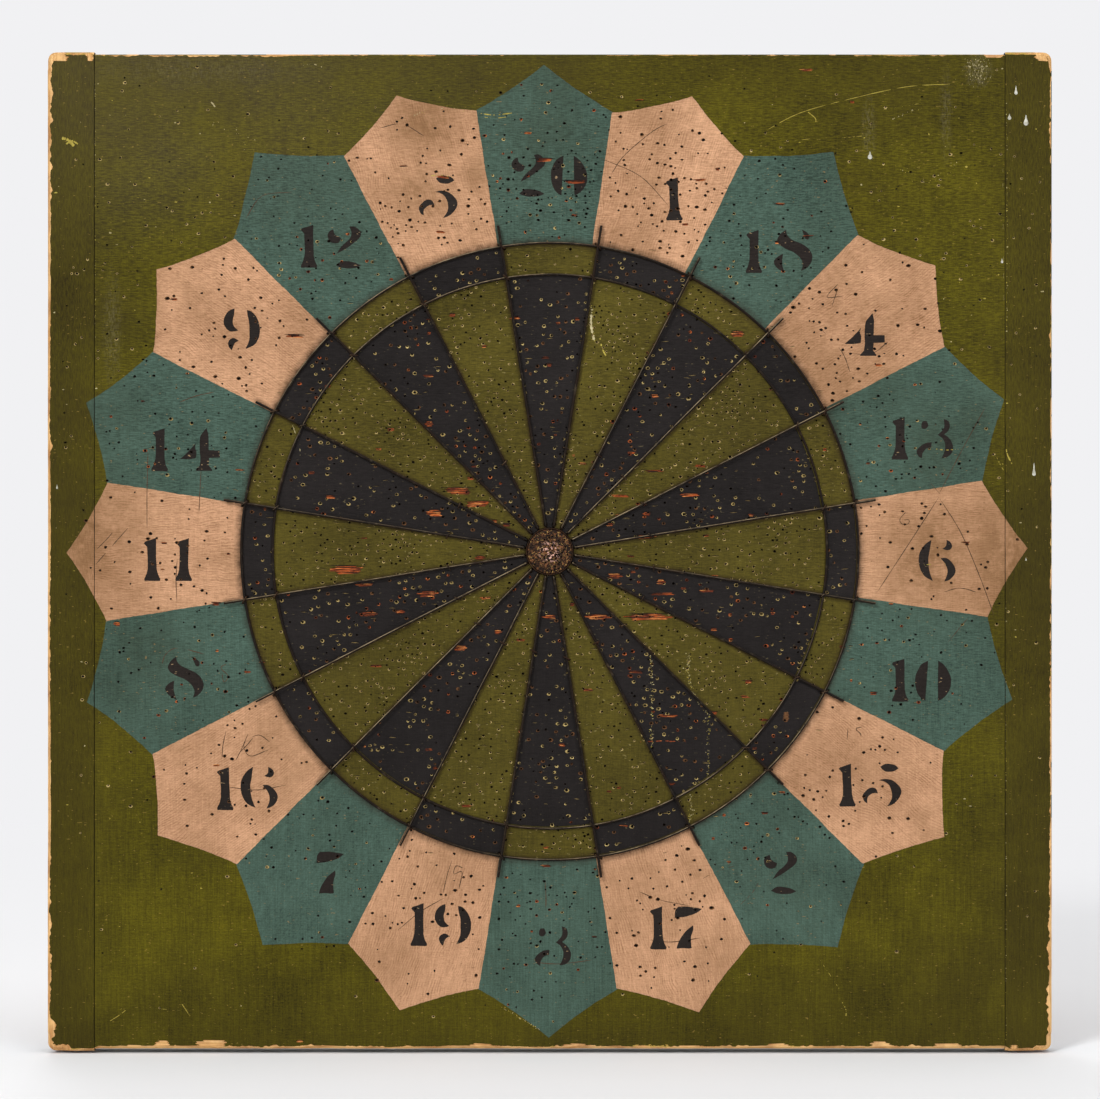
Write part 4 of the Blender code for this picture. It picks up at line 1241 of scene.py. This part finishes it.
# Paint and fibres torn off along the foot and at the corners: place, length and height in sketch units
TORN_EDGE = (
    (163, 1046, 22, 11), (212, 1046, 44, 12), (136, 1048, 26, 6), (482, 1047, 40, 7), (578, 1047, 36, 7),
    (776, 1047, 30, 7), (880, 1046, 26, 9), (946, 1047, 38, 7), (60, 57, 22, 8), (90, 57, 9, 8), (1042, 58, 20, 6),
    (320, 1048, 26, 5), (690, 1048, 40, 5), (1014, 1048, 12, 6),
)
# Where the joint at each cleat gapes: its side, from and to, its width in millimetres and how much of it shows
CLEAT_GAPS = ((-1, 52, 380, 0.36, 0.98), (-1, 382, 720, 0.26, 0.95), (-1, 722, 1052, 0.3, 0.98),
              (1, 60, 420, 0.16, 0.6), (1, 422, 1050, 0.2, 0.9))
# The splinters that show most: place, length and height in sketch units; more are struck at random
SPLINTERS = (
    (347, 570, 36, 10), (458, 491, 31, 8), (478, 504, 31, 7), (435, 513, 18, 8), (428, 594, 22, 7), (370, 614, 20, 5),
    (400, 612, 12, 5), (550, 617, 17, 5), (598, 617, 28, 6), (364, 585, 20, 3), (460, 648, 17, 6), (507, 525, 10, 4),
    (480, 558, 12, 5), (429, 424, 10, 7), (294, 336, 20, 4), (575, 182, 22, 4), (545, 160, 22, 4), (443, 177, 14, 3),
    (737, 334, 16, 7), (648, 617, 48, 8), (668, 716, 24, 3), (515, 318, 14, 3), (428, 376, 12, 3), (655, 396, 10, 4),
    (700, 466, 16, 3), (655, 471, 24, 3), (620, 496, 22, 3), (597, 541, 18, 3), (662, 594, 26, 3), (706, 591, 20, 3),
    (376, 666, 14, 3), (330, 497, 13, 4), (560, 179, 26, 3), (528, 133, 12, 3), (700, 180, 14, 3), (440, 232, 12, 3),
    (216, 604, 10, 4), (117, 624, 9, 5), (240, 470, 12, 2), (636, 672, 20, 3), (588, 690, 14, 3), (486, 598, 15, 3),
    (520, 640, 12, 3), (764, 720, 12, 3), (466, 806, 12, 3), (546, 866, 12, 3), (806, 70, 14, 3), (852, 102, 6, 3),
    (640, 100, 12, 2), (404, 166, 10, 2), (780, 204, 12, 3), (808, 236, 14, 2), (300, 1041, 9, 3), (748, 682, 10, 4),
    (686, 722, 10, 3), (765, 813, 10, 3), (615, 576, 18, 6), (661, 582, 11, 6), (645, 537, 22, 5), (690, 495, 22, 4),
    (647, 514, 10, 5), (498, 632, 8, 5),
)


def torn_outline(across, down, length, tall, rng):
    """A torn patch: fibres lie across it and broke off unevenly at both ends."""
    rows = max(2, round(tall / 1.5))
    lean = rng.uniform(-0.06, 0.06)
    left, right = [], []
    for i in range(rows):
        low, high = tall * (i / rows - 0.5), tall * ((i + 1) / rows - 0.5)
        bulge = 0.55 + 0.45 * math.sin(math.pi * (i + 0.5) / rows)
        for side, way in ((left, -1), (right, 1)):
            tip = way * length / 2 * bulge * rng.uniform(0.6, 1.0)
            shoulder = tip - way * min(2.2, abs(tip) * 0.5) * rng.uniform(0.5, 1.0)
            at = low + (high - low) * rng.uniform(0.3, 0.7)
            side += [(shoulder, low + 0.08), (tip, at), (shoulder, high - 0.08)]
    return [spot(across + x, down + y + lean * x) for x, y in left[::-1] + right]


# How many of each small mark are tried, the middle of the wear, and the depth of a chip
CORNER_CHIPS = 120
FIELD_CHIPS = 300
SMALL_SPLINTERS = 230
FIBRE_CRACKS = 260
WEAR_MIDDLE = (549, 551)
CHIP_DEPTH = 0.1 * MM


def row_chips(rng):
    """Chips in rows along knocks, and a crowd of them at the upper right."""
    chips = [(outline, CHIP_DEPTH, rng.choice(("scuff", "scratch"))) for points, width, shown in CRUMB_ROWS
             for outline in crumbs(drawn(points), width * MM, rng, shown)]
    for _ in range(CORNER_CHIPS):
        x, z = spot(rng.gauss(977, 6.5), rng.triangular(56, 88, 62))
        chips.append((chip(x, z, rng.uniform(0.2, 0.5) * MM, rng, rng.uniform(0.3, 0.7)), CHIP_DEPTH, "scuff"))
    return chips


def cleat_gaps(rng):
    """The dark line at each cleat, a gap coloured with painted shade, broken where the joint is shut."""
    gaps = []
    for side, down, to, width, shown in CLEAT_GAPS:
        line = [(side * cleat_joint, spot(0, down + (to - down) * i / 90)[1]) for i in range(91)]
        gaps += [(ribbon(run, width * MM, rng), 1.2 * MM, "hole_dark") for run in dashes(line, rng, shown)]
    return gaps


def field_chips(rng):
    """Chips all over the field, most of them near its head."""
    chips = []
    for _ in range(FIELD_CHIPS):
        x, z = spot(rng.uniform(54, 1046), rng.triangular(60, 1044, 120))
        if region(x, z) == "field_green":
            outline = chip(x, z, rng.triangular(0.14, 0.7, 0.22) * MM, rng, rng.uniform(0.8, 2.2))
            chips.append((outline, CHIP_DEPTH, rng.choice(("scuff", "scratch"))))
    return chips


def splinter_places(rng):
    """The places of all splinters, without those that would run into another or into the bull."""
    places = [(across, down, length * 1.15, tall * 0.8) for across, down, length, tall in SPLINTERS]
    for _ in range(SMALL_SPLINTERS):
        across, down = rng.uniform(120, 980), rng.uniform(110, 990)
        if math.hypot(across - WEAR_MIDDLE[0], down - WEAR_MIDDLE[1]) < rng.uniform(60, 470):
            places.append((across, down, rng.uniform(4, 12), rng.uniform(1.6, 3.0)))
    kept = []
    for place in places:
        across, down, length = place[:3]
        apart = [abs(across - other[0]) > (length + other[2]) * 0.55 or abs(down - other[1]) > 7 for other in kept]
        if all(apart) and math.hypot(across - SKETCH_MIDDLE[0], down - SKETCH_MIDDLE[1]) > 34 + length:
            kept.append(place)
    return kept


def splinter_marks(places, rng):
    """Splinters with the dark cracks beside them in painted shade, a painted shadow along the upper edge of the larger
    ones, and short cracks where a dart only lifted the fibre.
    """
    splinters, cracks = [], []
    for across, down, length, tall in places:
        splinters.append((torn_outline(across, down, length, tall, rng), rng.uniform(0.2, 0.4) * MM, "splinter"))
        for i in range(round(tall / 2.6)):
            level = down + tall * ((i + 0.6) / (tall / 2.6 + 0.4) - 0.5)
            line = [(across + length * rng.uniform(*end), level) for end in ((-0.5, -0.2), (0.1, 0.5))]
            cracks.append((ribbon(drawn(line, 5), 0.4 * MM, rng), 0.8 * MM, "hole_dark"))
        # Painted shadow: a dark crack along the upper edge of each larger splinter, where its torn edge throws shade
        if tall > 2.8:
            line = [(across - length * rng.uniform(0.3, 0.55), down - tall * 0.5), (across, down - tall * 0.55),
                    (across + length * rng.uniform(0.3, 0.55), down - tall * 0.45)]
            cracks.append((ribbon(drawn(line, 4), 0.5 * MM, rng), 0.6 * MM, "hole_dark"))
    for _ in range(FIBRE_CRACKS):
        turn, reach, length = rng.uniform(0, math.tau), 36 + 290 * rng.random() ** 0.7, rng.uniform(3, 8)
        across, down = WEAR_MIDDLE[0] + reach * math.sin(turn), WEAR_MIDDLE[1] - reach * math.cos(turn)
        lean = rng.uniform(-0.4, 0.4)
        for below, finish, lot in ((0.0, "hole_dark", cracks), (0.75, "hole_rim", splinters)):
            line = [(across - length / 2, down + below - lean), (across + length / 2, down + below + lean)]
            lot.append((ribbon(drawn(line, 3), 0.32 * MM, rng), 0.3 * MM, finish))
    return splinters, cracks


def mark_face(woods, rng):
    """Pencil, scratches and splinters, in the order they came."""
    worn = worn_outlines()
    pencil = [(ribbon(run, 0.44 * MM, rng), PENCIL_DEPTH, "pencil")
              for points in PENCIL_LINES for run in dashes(drawn(points), rng, 0.97)]
    scratches = [(ribbon(run, width * MM, rng), 0.12 * MM, finish)
                 for points, width, shown, finish in SCRATCHES for run in dashes(drawn(points, 20), rng, shown)]
    chips = row_chips(rng)
    joints = cleat_gaps(rng)
    chips += field_chips(rng)
    places = splinter_places(rng)
    torn = [(torn_outline(*place, rng), rng.uniform(0.14, 0.2) * MM, "rubbed_edge") for place in TORN_EDGE]
    torn.append((torn_outline(786, 717, 9, 10, rng), 0.12 * MM, "hole_stain"))
    splinters, cracks = splinter_marks(places, rng)
    for wood in woods:
        for marks in (worn, joints, pencil, scratches, chips, torn, splinters, cracks):
            for lot in batches([mark for mark in marks if any(near(wood, x, z, MM) for x, z in mark[0])]):
                carve(wood, gather(add_prism, lot))


# ---------------------------------------------------------------- spider, bull and hanger

WIRE = 0.68 * MM
STAPLE = 0.36 * MM
OUTER_RING = 170.0 * MM
INNER_RING = 152.6 * MM
RADIAL_FOOT = 14.0 * MM
RADIAL_END = 181.5 * MM
RING_LIFT = 0.85 * MM
RADIAL_RISE = 1.45 / 137.4
BULL_FOOT = -8.6 * MM


def above(turn, reach, lift, aside=0.0):
    """A point off the face: turn clockwise from the top, reach from the bull, lift towards the player."""
    way = Vector((math.sin(turn), 0, math.cos(turn)))
    return dial_centre + way * reach + Vector((way.z, 0, -way.x)) * aside + FRONT * lift


def radial_lift(reach):
    return RING_LIFT + RADIAL_RISE * (reach - RADIAL_FOOT)


def spoke_turn(index):
    return (index + 0.5) * math.tau / SECTORS


def make_ring_wire(name, node, reach, finish, rng):
    """A ring of wire, a little out of true."""
    seed = rng.uniform(0, 90)
    turns = [math.tau * i / 180 for i in range(180)]
    points = []
    for turn in turns:
        sway = noise.noise_vector(Vector((3 * math.sin(turn), 3 * math.cos(turn), seed)))
        points.append(above(turn, reach + 0.22 * MM * sway.x, RING_LIFT + 0.05 * MM * sway.y))
    bm = bmesh.new()
    sweep(bm, wire_frames(points, lambda i: Vector((math.sin(turns[i]), 0, math.cos(turns[i]))), WIRE, True), 12, True)
    finish_wire(name, bm, finish, [node])


def make_radial_wire(index, finish, rng):
    """A spoke: its foot turned down into the wood, a gentle sway along it, its outer end nipped off."""
    turn = spoke_turn(index)
    seed = rng.uniform(0, 90)
    path = [(RADIAL_FOOT, -5.9 * MM), (RADIAL_FOOT, -2 * MM)]
    path += [(RADIAL_FOOT + RING_LIFT * (1 - math.cos(a)), RING_LIFT * math.sin(a)) for a in quarter(6)]
    path += [(reach, radial_lift(reach)) for reach in (18 * MM + 5.45 * MM * i for i in range(30))]
    path.append((RADIAL_END, radial_lift(RADIAL_END)))
    points = []
    for reach, lift in path:
        free = min(1.0, max(0.0, (reach - 20 * MM) / (40 * MM)))
        sway = noise.noise_vector(Vector((reach * 22, seed, 1.7)))
        points.append(above(turn, reach, lift + free * 0.06 * MM * sway.y, free * 0.2 * MM * sway.x))
    side = Vector((math.cos(turn), 0, -math.sin(turn)))
    frames = wire_frames(points, side, WIRE)
    nip = (points[-1] - points[-2]).normalized() * 0.1 * MM
    frames.append(Matrix.Translation(nip) @ frames[-1] @ Matrix.Scale(0.55, 4))
    bm = bmesh.new()
    sweep(bm, frames, 12)
    finish_wire(f"spoke_{index + 1:02d}", bm, finish, [f"radial_wire_{index + 1:02d}"])


def add_staple(bm, turn, ring, skew, rng, reach=2.12 * MM):
    """A staple over a wire, turned by skew from the spoke's line; reach is half its span."""
    crown = radial_lift(ring) + 1.2 * MM
    bend_radius = 0.85 * MM
    half = [(reach, -5.5 * MM), (reach, 0.0)]
    half += [(reach - bend_radius * (1 - math.cos(a)), crown - bend_radius * (1 - math.sin(a))) for a in quarter(5)]
    path = half + [(-along, lift) for along, lift in reversed(half)]
    tip = rng.uniform(-0.05, 0.05) * MM
    points = [above(turn, ring - along * math.cos(skew), lift + tip, along * math.sin(skew)) for along, lift in path]
    out = Vector((math.sin(turn), 0, math.cos(turn)))
    side = out * math.sin(skew) + Vector((out.z, 0, -out.x)) * math.cos(skew)
    sweep(bm, wire_frames(points, side, STAPLE), 8)


def make_ring_staples(name, nodes, ring, finish, rng):
    """Twenty staples on the diagonal, one over each crossing of a ring and a spoke."""
    bm = bmesh.new()
    for index in range(SECTORS):
        add_staple(bm, spoke_turn(index), ring, math.radians(45 + rng.uniform(-4, 4)), rng)
    finish_wire(name, bm, finish, nodes)


def make_spoke_staples(finish, rng):
    """A smaller staple over each spoke about a third of the way out, skewed as the hammer left it."""
    bm = bmesh.new()
    for index in range(SECTORS):
        turn = spoke_turn(index)
        skew = turn + math.pi / 2 - math.radians(rng.uniform(20, 42))
        if abs(math.sin(skew)) < 0.6:
            skew = math.radians(rng.uniform(60, 110))
        add_staple(bm, turn, rng.uniform(54.5, 59.5) * MM, skew, rng, 1.75 * MM)
    finish_wire("spoke_staples", bm, finish, [])


def finish_wire(name, bm, finish, nodes, body="board"):
    piece = make_piece(name, bm, [finish], smooth=50)
    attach(piece, body)
    if nodes:
        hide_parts(*nodes)
    return piece


def turned(profile, steps, close=False):
    """A profile of radius and height above the face, spun about the bull's axis."""
    bm = bmesh.new()
    verts = [bm.verts.new(dial_centre + Vector((radius, 0, 0)) + FRONT * rise) for radius, rise in profile]
    edges = [bm.edges.new(pair) for pair in zip(verts, verts[1:] + (verts[:1] if close else []))]
    bmesh.ops.spin(bm, geom=verts + edges, cent=dial_centre, axis=(0, 1, 0), angle=math.tau, steps=steps,
                   use_merge=True)
    bmesh.ops.remove_doubles(bm, verts=bm.verts[:], dist=0.001 * MM)
    return bm


def make_bull(materials, rng):
    """The bull: a crowned plug, rough and pricked all over."""
    crown = [(12.1 * math.cos(a) * MM, (2.5 + 1.15 * math.sin(a)) * MM) for a in quarter(12)]
    bm = turned([(0, BULL_FOOT), (12.1 * MM, BULL_FOOT)] + crown, 72)
    for vert in bm.verts:
        if vert.co.y < face_y - 2.4 * MM:
            rough = noise.noise(vert.co * 900) + 0.6 * noise.noise(vert.co * 2200)
            vert.co.y += 0.11 * MM * (1 + rough)
    plug = make_piece("bull_cork", bm, materials)
    pricks, places = bmesh.new(), []
    while len(places) < 150:
        turn, reach = rng.uniform(0, math.tau), 11.2 * MM * math.sqrt(rng.random())
        radius = rng.choice((0.22, 0.28, 0.36, 0.45, 0.55)) * MM
        x, z = reach * math.sin(turn), middle_z + reach * math.cos(turn)
        if all(math.hypot(x - other[0], z - other[1]) > radius + other[2] + 0.12 * MM for other in places):
            places.append((x, z, radius))
    for x, z, radius in places:
        way = Matrix.Translation((x, face_y - 2.6 * MM, z)) @ Matrix.Rotation(-math.pi / 2, 4, "X")
        made = bmesh.ops.create_cone(pricks, cap_ends=True, segments=7, radius1=radius * 1.1, radius2=radius * 0.7,
                                     depth=3.4 * MM, matrix=way)
        for vert in made["verts"]:
            vert.co.x += rng.uniform(-0.2, 0.2) * radius
            vert.co.z += rng.uniform(-0.2, 0.2) * radius
    for face in pricks.faces:
        face.material_index = 1
    carve(plug, pricks)
    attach(plug, "board")
    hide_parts("bull_plug")


def make_ferrule(finish):
    """The thin metal band round the bull, its lip rolled over a little."""
    inner, outer, top = 12.4 * MM, 13.0 * MM, 2.4 * MM
    roll = 0.3 * MM
    lip = [(outer - roll + roll * math.cos(a), top - roll + roll * math.sin(a))
           for a in (math.pi * i / 8 for i in range(9))]
    bm = turned([(inner, BULL_FOOT), (outer, BULL_FOOT)] + lip, 96, close=True)
    finish_wire("bull_band", bm, finish, ["bull_ferrule"])


def make_hanger_ring(finish):
    """The swinging ring: a straight bar through the strap's eye, rounded corners and a half round below."""
    low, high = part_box("hanger_ring")
    wire = 1.25 * MM
    pivot = Vector(((low.x + high.x) / 2, (low.y + high.y) / 2, high.z - wire))
    half, corner, leg = (high.x - low.x) / 2 - wire, 2.5 * MM, 6 * MM
    path = [(i * (half - corner) / 4, 0.0) for i in range(4)]
    path += [(half - corner * (1 - math.cos(a)), -corner * (1 - math.sin(a)))
             for a in (math.pi / 2 * (1 - i / 8) for i in range(9))]
    path += [(half * math.cos(a), -leg + half * math.sin(a)) for a in (-math.pi / 2 * i / 14 for i in range(15))]
    path += [(-x, z) for x, z in reversed(path[1:-1])]
    points = [pivot + Vector((x, 0, z)) for x, z in path]
    bm = bmesh.new()
    sweep(bm, wire_frames(points, Vector((0, 1, 0)), wire, True), 16, True)
    finish_wire("hanging_ring", bm, finish, ["hanger_ring"], "ring")


# Drops of white paint: where each ends, how wide it is and how far it ran, in sketch units
DROPS = ((1016, 93, 3.4, 12), (1009.5, 118, 3.8, 7), (1026, 123, 5.2, 13), (870, 157, 4.8, 9), (1034, 474, 3.8, 18),
         (1002, 262, 2.6, 6), (1026, 560, 1.8, 4), (57, 488, 2.0, 6))


def make_drips(finish):
    """Drops of paint that ran a little way down the face and dried."""
    bm = bmesh.new()
    for across, down, wide, run in DROPS:
        x, z = spot(across, down)
        made = bmesh.ops.create_uvsphere(bm, u_segments=14, v_segments=10, radius=1)
        for vert in made["verts"]:
            tail = max(0.0, vert.co.z)
            slim = 1 - 0.86 * tail ** 0.45
            spread_x = vert.co.x * slim * wide / 2 * UNIT
            rise = vert.co.z * (wide / 2 if vert.co.z < 0 else run) * UNIT
            vert.co = Vector((x + spread_x, face_y + 0.1 * MM + vert.co.y * slim * 0.42 * MM, z + rise))
    piece = make_piece("paint_drips", bm, [finish], smooth=60)
    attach(piece, "board")


# ---------------------------------------------------------------- assembling

finishes = make_finishes()
painter = random.Random(1931)
players = random.Random(180)
smith = random.Random(7)
noise.seed_set(31)
woods = [take_wood(node, finishes) for node in WOODS]
rub_edges(woods)
paint_face(woods, painter)
mark_face(woods, painter)
strike_face(woods, players)
for wood, node in zip(woods, WOODS):
    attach(wood, "board")
    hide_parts(node)

# The wire and the staples carry a painted highlight, their last value
wire_iron = iron_finish("wire_iron", (18, 13, 9), (32, 20, 11), (172, 152, 118), 0.8, 0.08, 0.0, 0.8)
staple_iron = iron_finish("staple_iron", (24, 17, 11), (52, 31, 17), (140, 116, 86), 0.7, 0.1, 0.0, 0.5)
band_iron = iron_finish("band_iron", (36, 24, 15), (58, 35, 20), (120, 92, 66), 0.7, 0.3, 0.25)
hanger_steel = iron_finish("hanger_steel", (120, 114, 104), (96, 62, 38), (176, 172, 164), 0.45, 0.5, 0.85)

make_ring_wire("outer_ring", "outer_ring_wire", OUTER_RING, wire_iron, smith)
make_ring_wire("inner_ring", "inner_ring_wire", INNER_RING, wire_iron, smith)
for index in range(SECTORS):
    make_radial_wire(index, wire_iron, smith)
ring_staples = [f"ring_staple_{index + 1:02d}" for index in range(SECTORS)]
make_ring_staples("outer_staples", ring_staples, OUTER_RING, staple_iron, smith)
make_ring_staples("inner_staples", [], INNER_RING, staple_iron, smith)
make_spoke_staples(staple_iron, random.Random(57))
make_bull([make_cork(), finishes[finish_index("hole_dark")]], smith)
make_ferrule(band_iron)
make_hanger_ring(hanger_steel)
make_drips(make_drip_paint())
for name in ("hanger_strap", "hanger_screw_upper", "hanger_screw_lower"):
    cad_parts[name].data.materials.clear()
    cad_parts[name].data.materials.append(hanger_steel)


# ---------------------------------------------------------------- stage, light and camera

def seen_rays(tree):
    """1 for what is looked at, also in a gloss or through glass, and 0 for light that falls on the object."""
    path = put(tree, "ShaderNodeLightPath").outputs
    return most(tree, path["Is Camera Ray"], path["Is Glossy Ray"], path["Is Transmission Ray"])


def make_stage():
    """A pale floor that sweeps up into a backdrop; behind the board and far from it the camera sees plain paper."""
    bm = bmesh.new()
    bmesh.ops.create_grid(bm, x_segments=1, y_segments=1, size=6.0)
    far = [edge for edge in bm.edges if all(vert.co.y > 5 for vert in edge.verts)]
    lifted = new_verts(bmesh.ops.extrude_edge_only(bm, edges=far))
    bmesh.ops.translate(bm, verts=lifted, vec=(0, 0, 5))
    bmesh.ops.translate(bm, verts=bm.verts[:], vec=(0, 0, -1.5 * MM))
    bmesh.ops.bevel(bm, geom=far, offset=1.0, segments=24, profile=0.5, affect="EDGES", material=-1)
    material, tree, shader = new_material("pale_paper")
    place = object_place(tree)
    paper = mix(tree, clouds(tree, place, 3.0, 4.0), tint(238, 238, 239), tint(242, 242, 243))
    tree.links.new(paper, shader.inputs["Base Color"])
    shader.inputs["Roughness"].default_value = 0.8
    depth = split_axes(tree, place)[1]
    away = most(tree, ramp(tree, depth, 0.1, 1.4), ramp(tree, measure(tree, "LENGTH", place), 1.2, 2.2))
    seen = seen_rays(tree)
    plain = put(tree, "ShaderNodeEmission", {"Color": tint(241, 241, 243), "Strength": 1.0})
    both = put(tree, "ShaderNodeMixShader", {0: times(tree, away, seen), 1: shader.outputs[0], 2: plain.outputs[0]})
    tree.links.new(both.outputs[0], tree.nodes["Material Output"].inputs["Surface"])
    floor = make_piece("floor_sweep", bm, [material], smooth=40)


def make_lamp(name, place, size, power):
    lamp = bpy.data.lights.new(name, "AREA")
    lamp.shape = "DISK"
    lamp.size = size
    lamp.energy = power
    holder = bpy.data.objects.new(name, lamp)
    holder.location = place
    holder.rotation_euler = (Vector((0, 0, middle_z)) - Vector(place)).to_track_quat("-Z", "Y").to_euler()
    bpy.context.scene.collection.objects.link(holder)


def make_world():
    world = bpy.data.worlds.new("studio")
    world.use_nodes = True
    tree = world.node_tree
    seen = tree.nodes["Background"]
    seen.inputs["Color"].default_value = tint(240, 240, 243)
    seen.inputs["Strength"].default_value = 1.0
    soft = put(tree, "ShaderNodeBackground", {"Color": (0.97, 0.98, 1.0, 1.0), "Strength": 0.35})
    both = put(tree, "ShaderNodeMixShader", {0: seen_rays(tree), 1: soft.outputs[0], 2: seen.outputs[0]})
    tree.links.new(both.outputs[0], tree.nodes["World Output"].inputs["Surface"])
    bpy.context.scene.world = world


def make_camera():
    """Square on to the face, from far enough for a flat view."""
    lens = bpy.data.cameras.new("camera")
    lens.lens = 100
    lens.sensor_width = 36
    distance = SKETCH_SIZE[0] * UNIT * lens.lens / lens.sensor_width
    camera = bpy.data.objects.new("camera", lens)
    x, z = spot(SKETCH_SIZE[0] / 2, SKETCH_SIZE[1] / 2)
    camera.location = (x, face_y - distance, z)
    camera.rotation_euler = (math.pi / 2, 0, 0)
    bpy.context.scene.collection.objects.link(camera)
    bpy.context.scene.camera = camera


make_stage()
make_lamp("key_softbox", (-2.7, -4.5, 3.7), 1.4, 204)
make_lamp("fill_softbox", (1.9, -3.0, 0.6), 1.8, 36)
make_lamp("top_softbox", (0.3, -0.4, 3.0), 1.8, 34)
make_lamp("back_softbox", (-0.8, 3.2, 2.6), 1.8, 26)
make_world()
make_camera()
bpy.context.scene.view_settings.view_transform = "Standard"
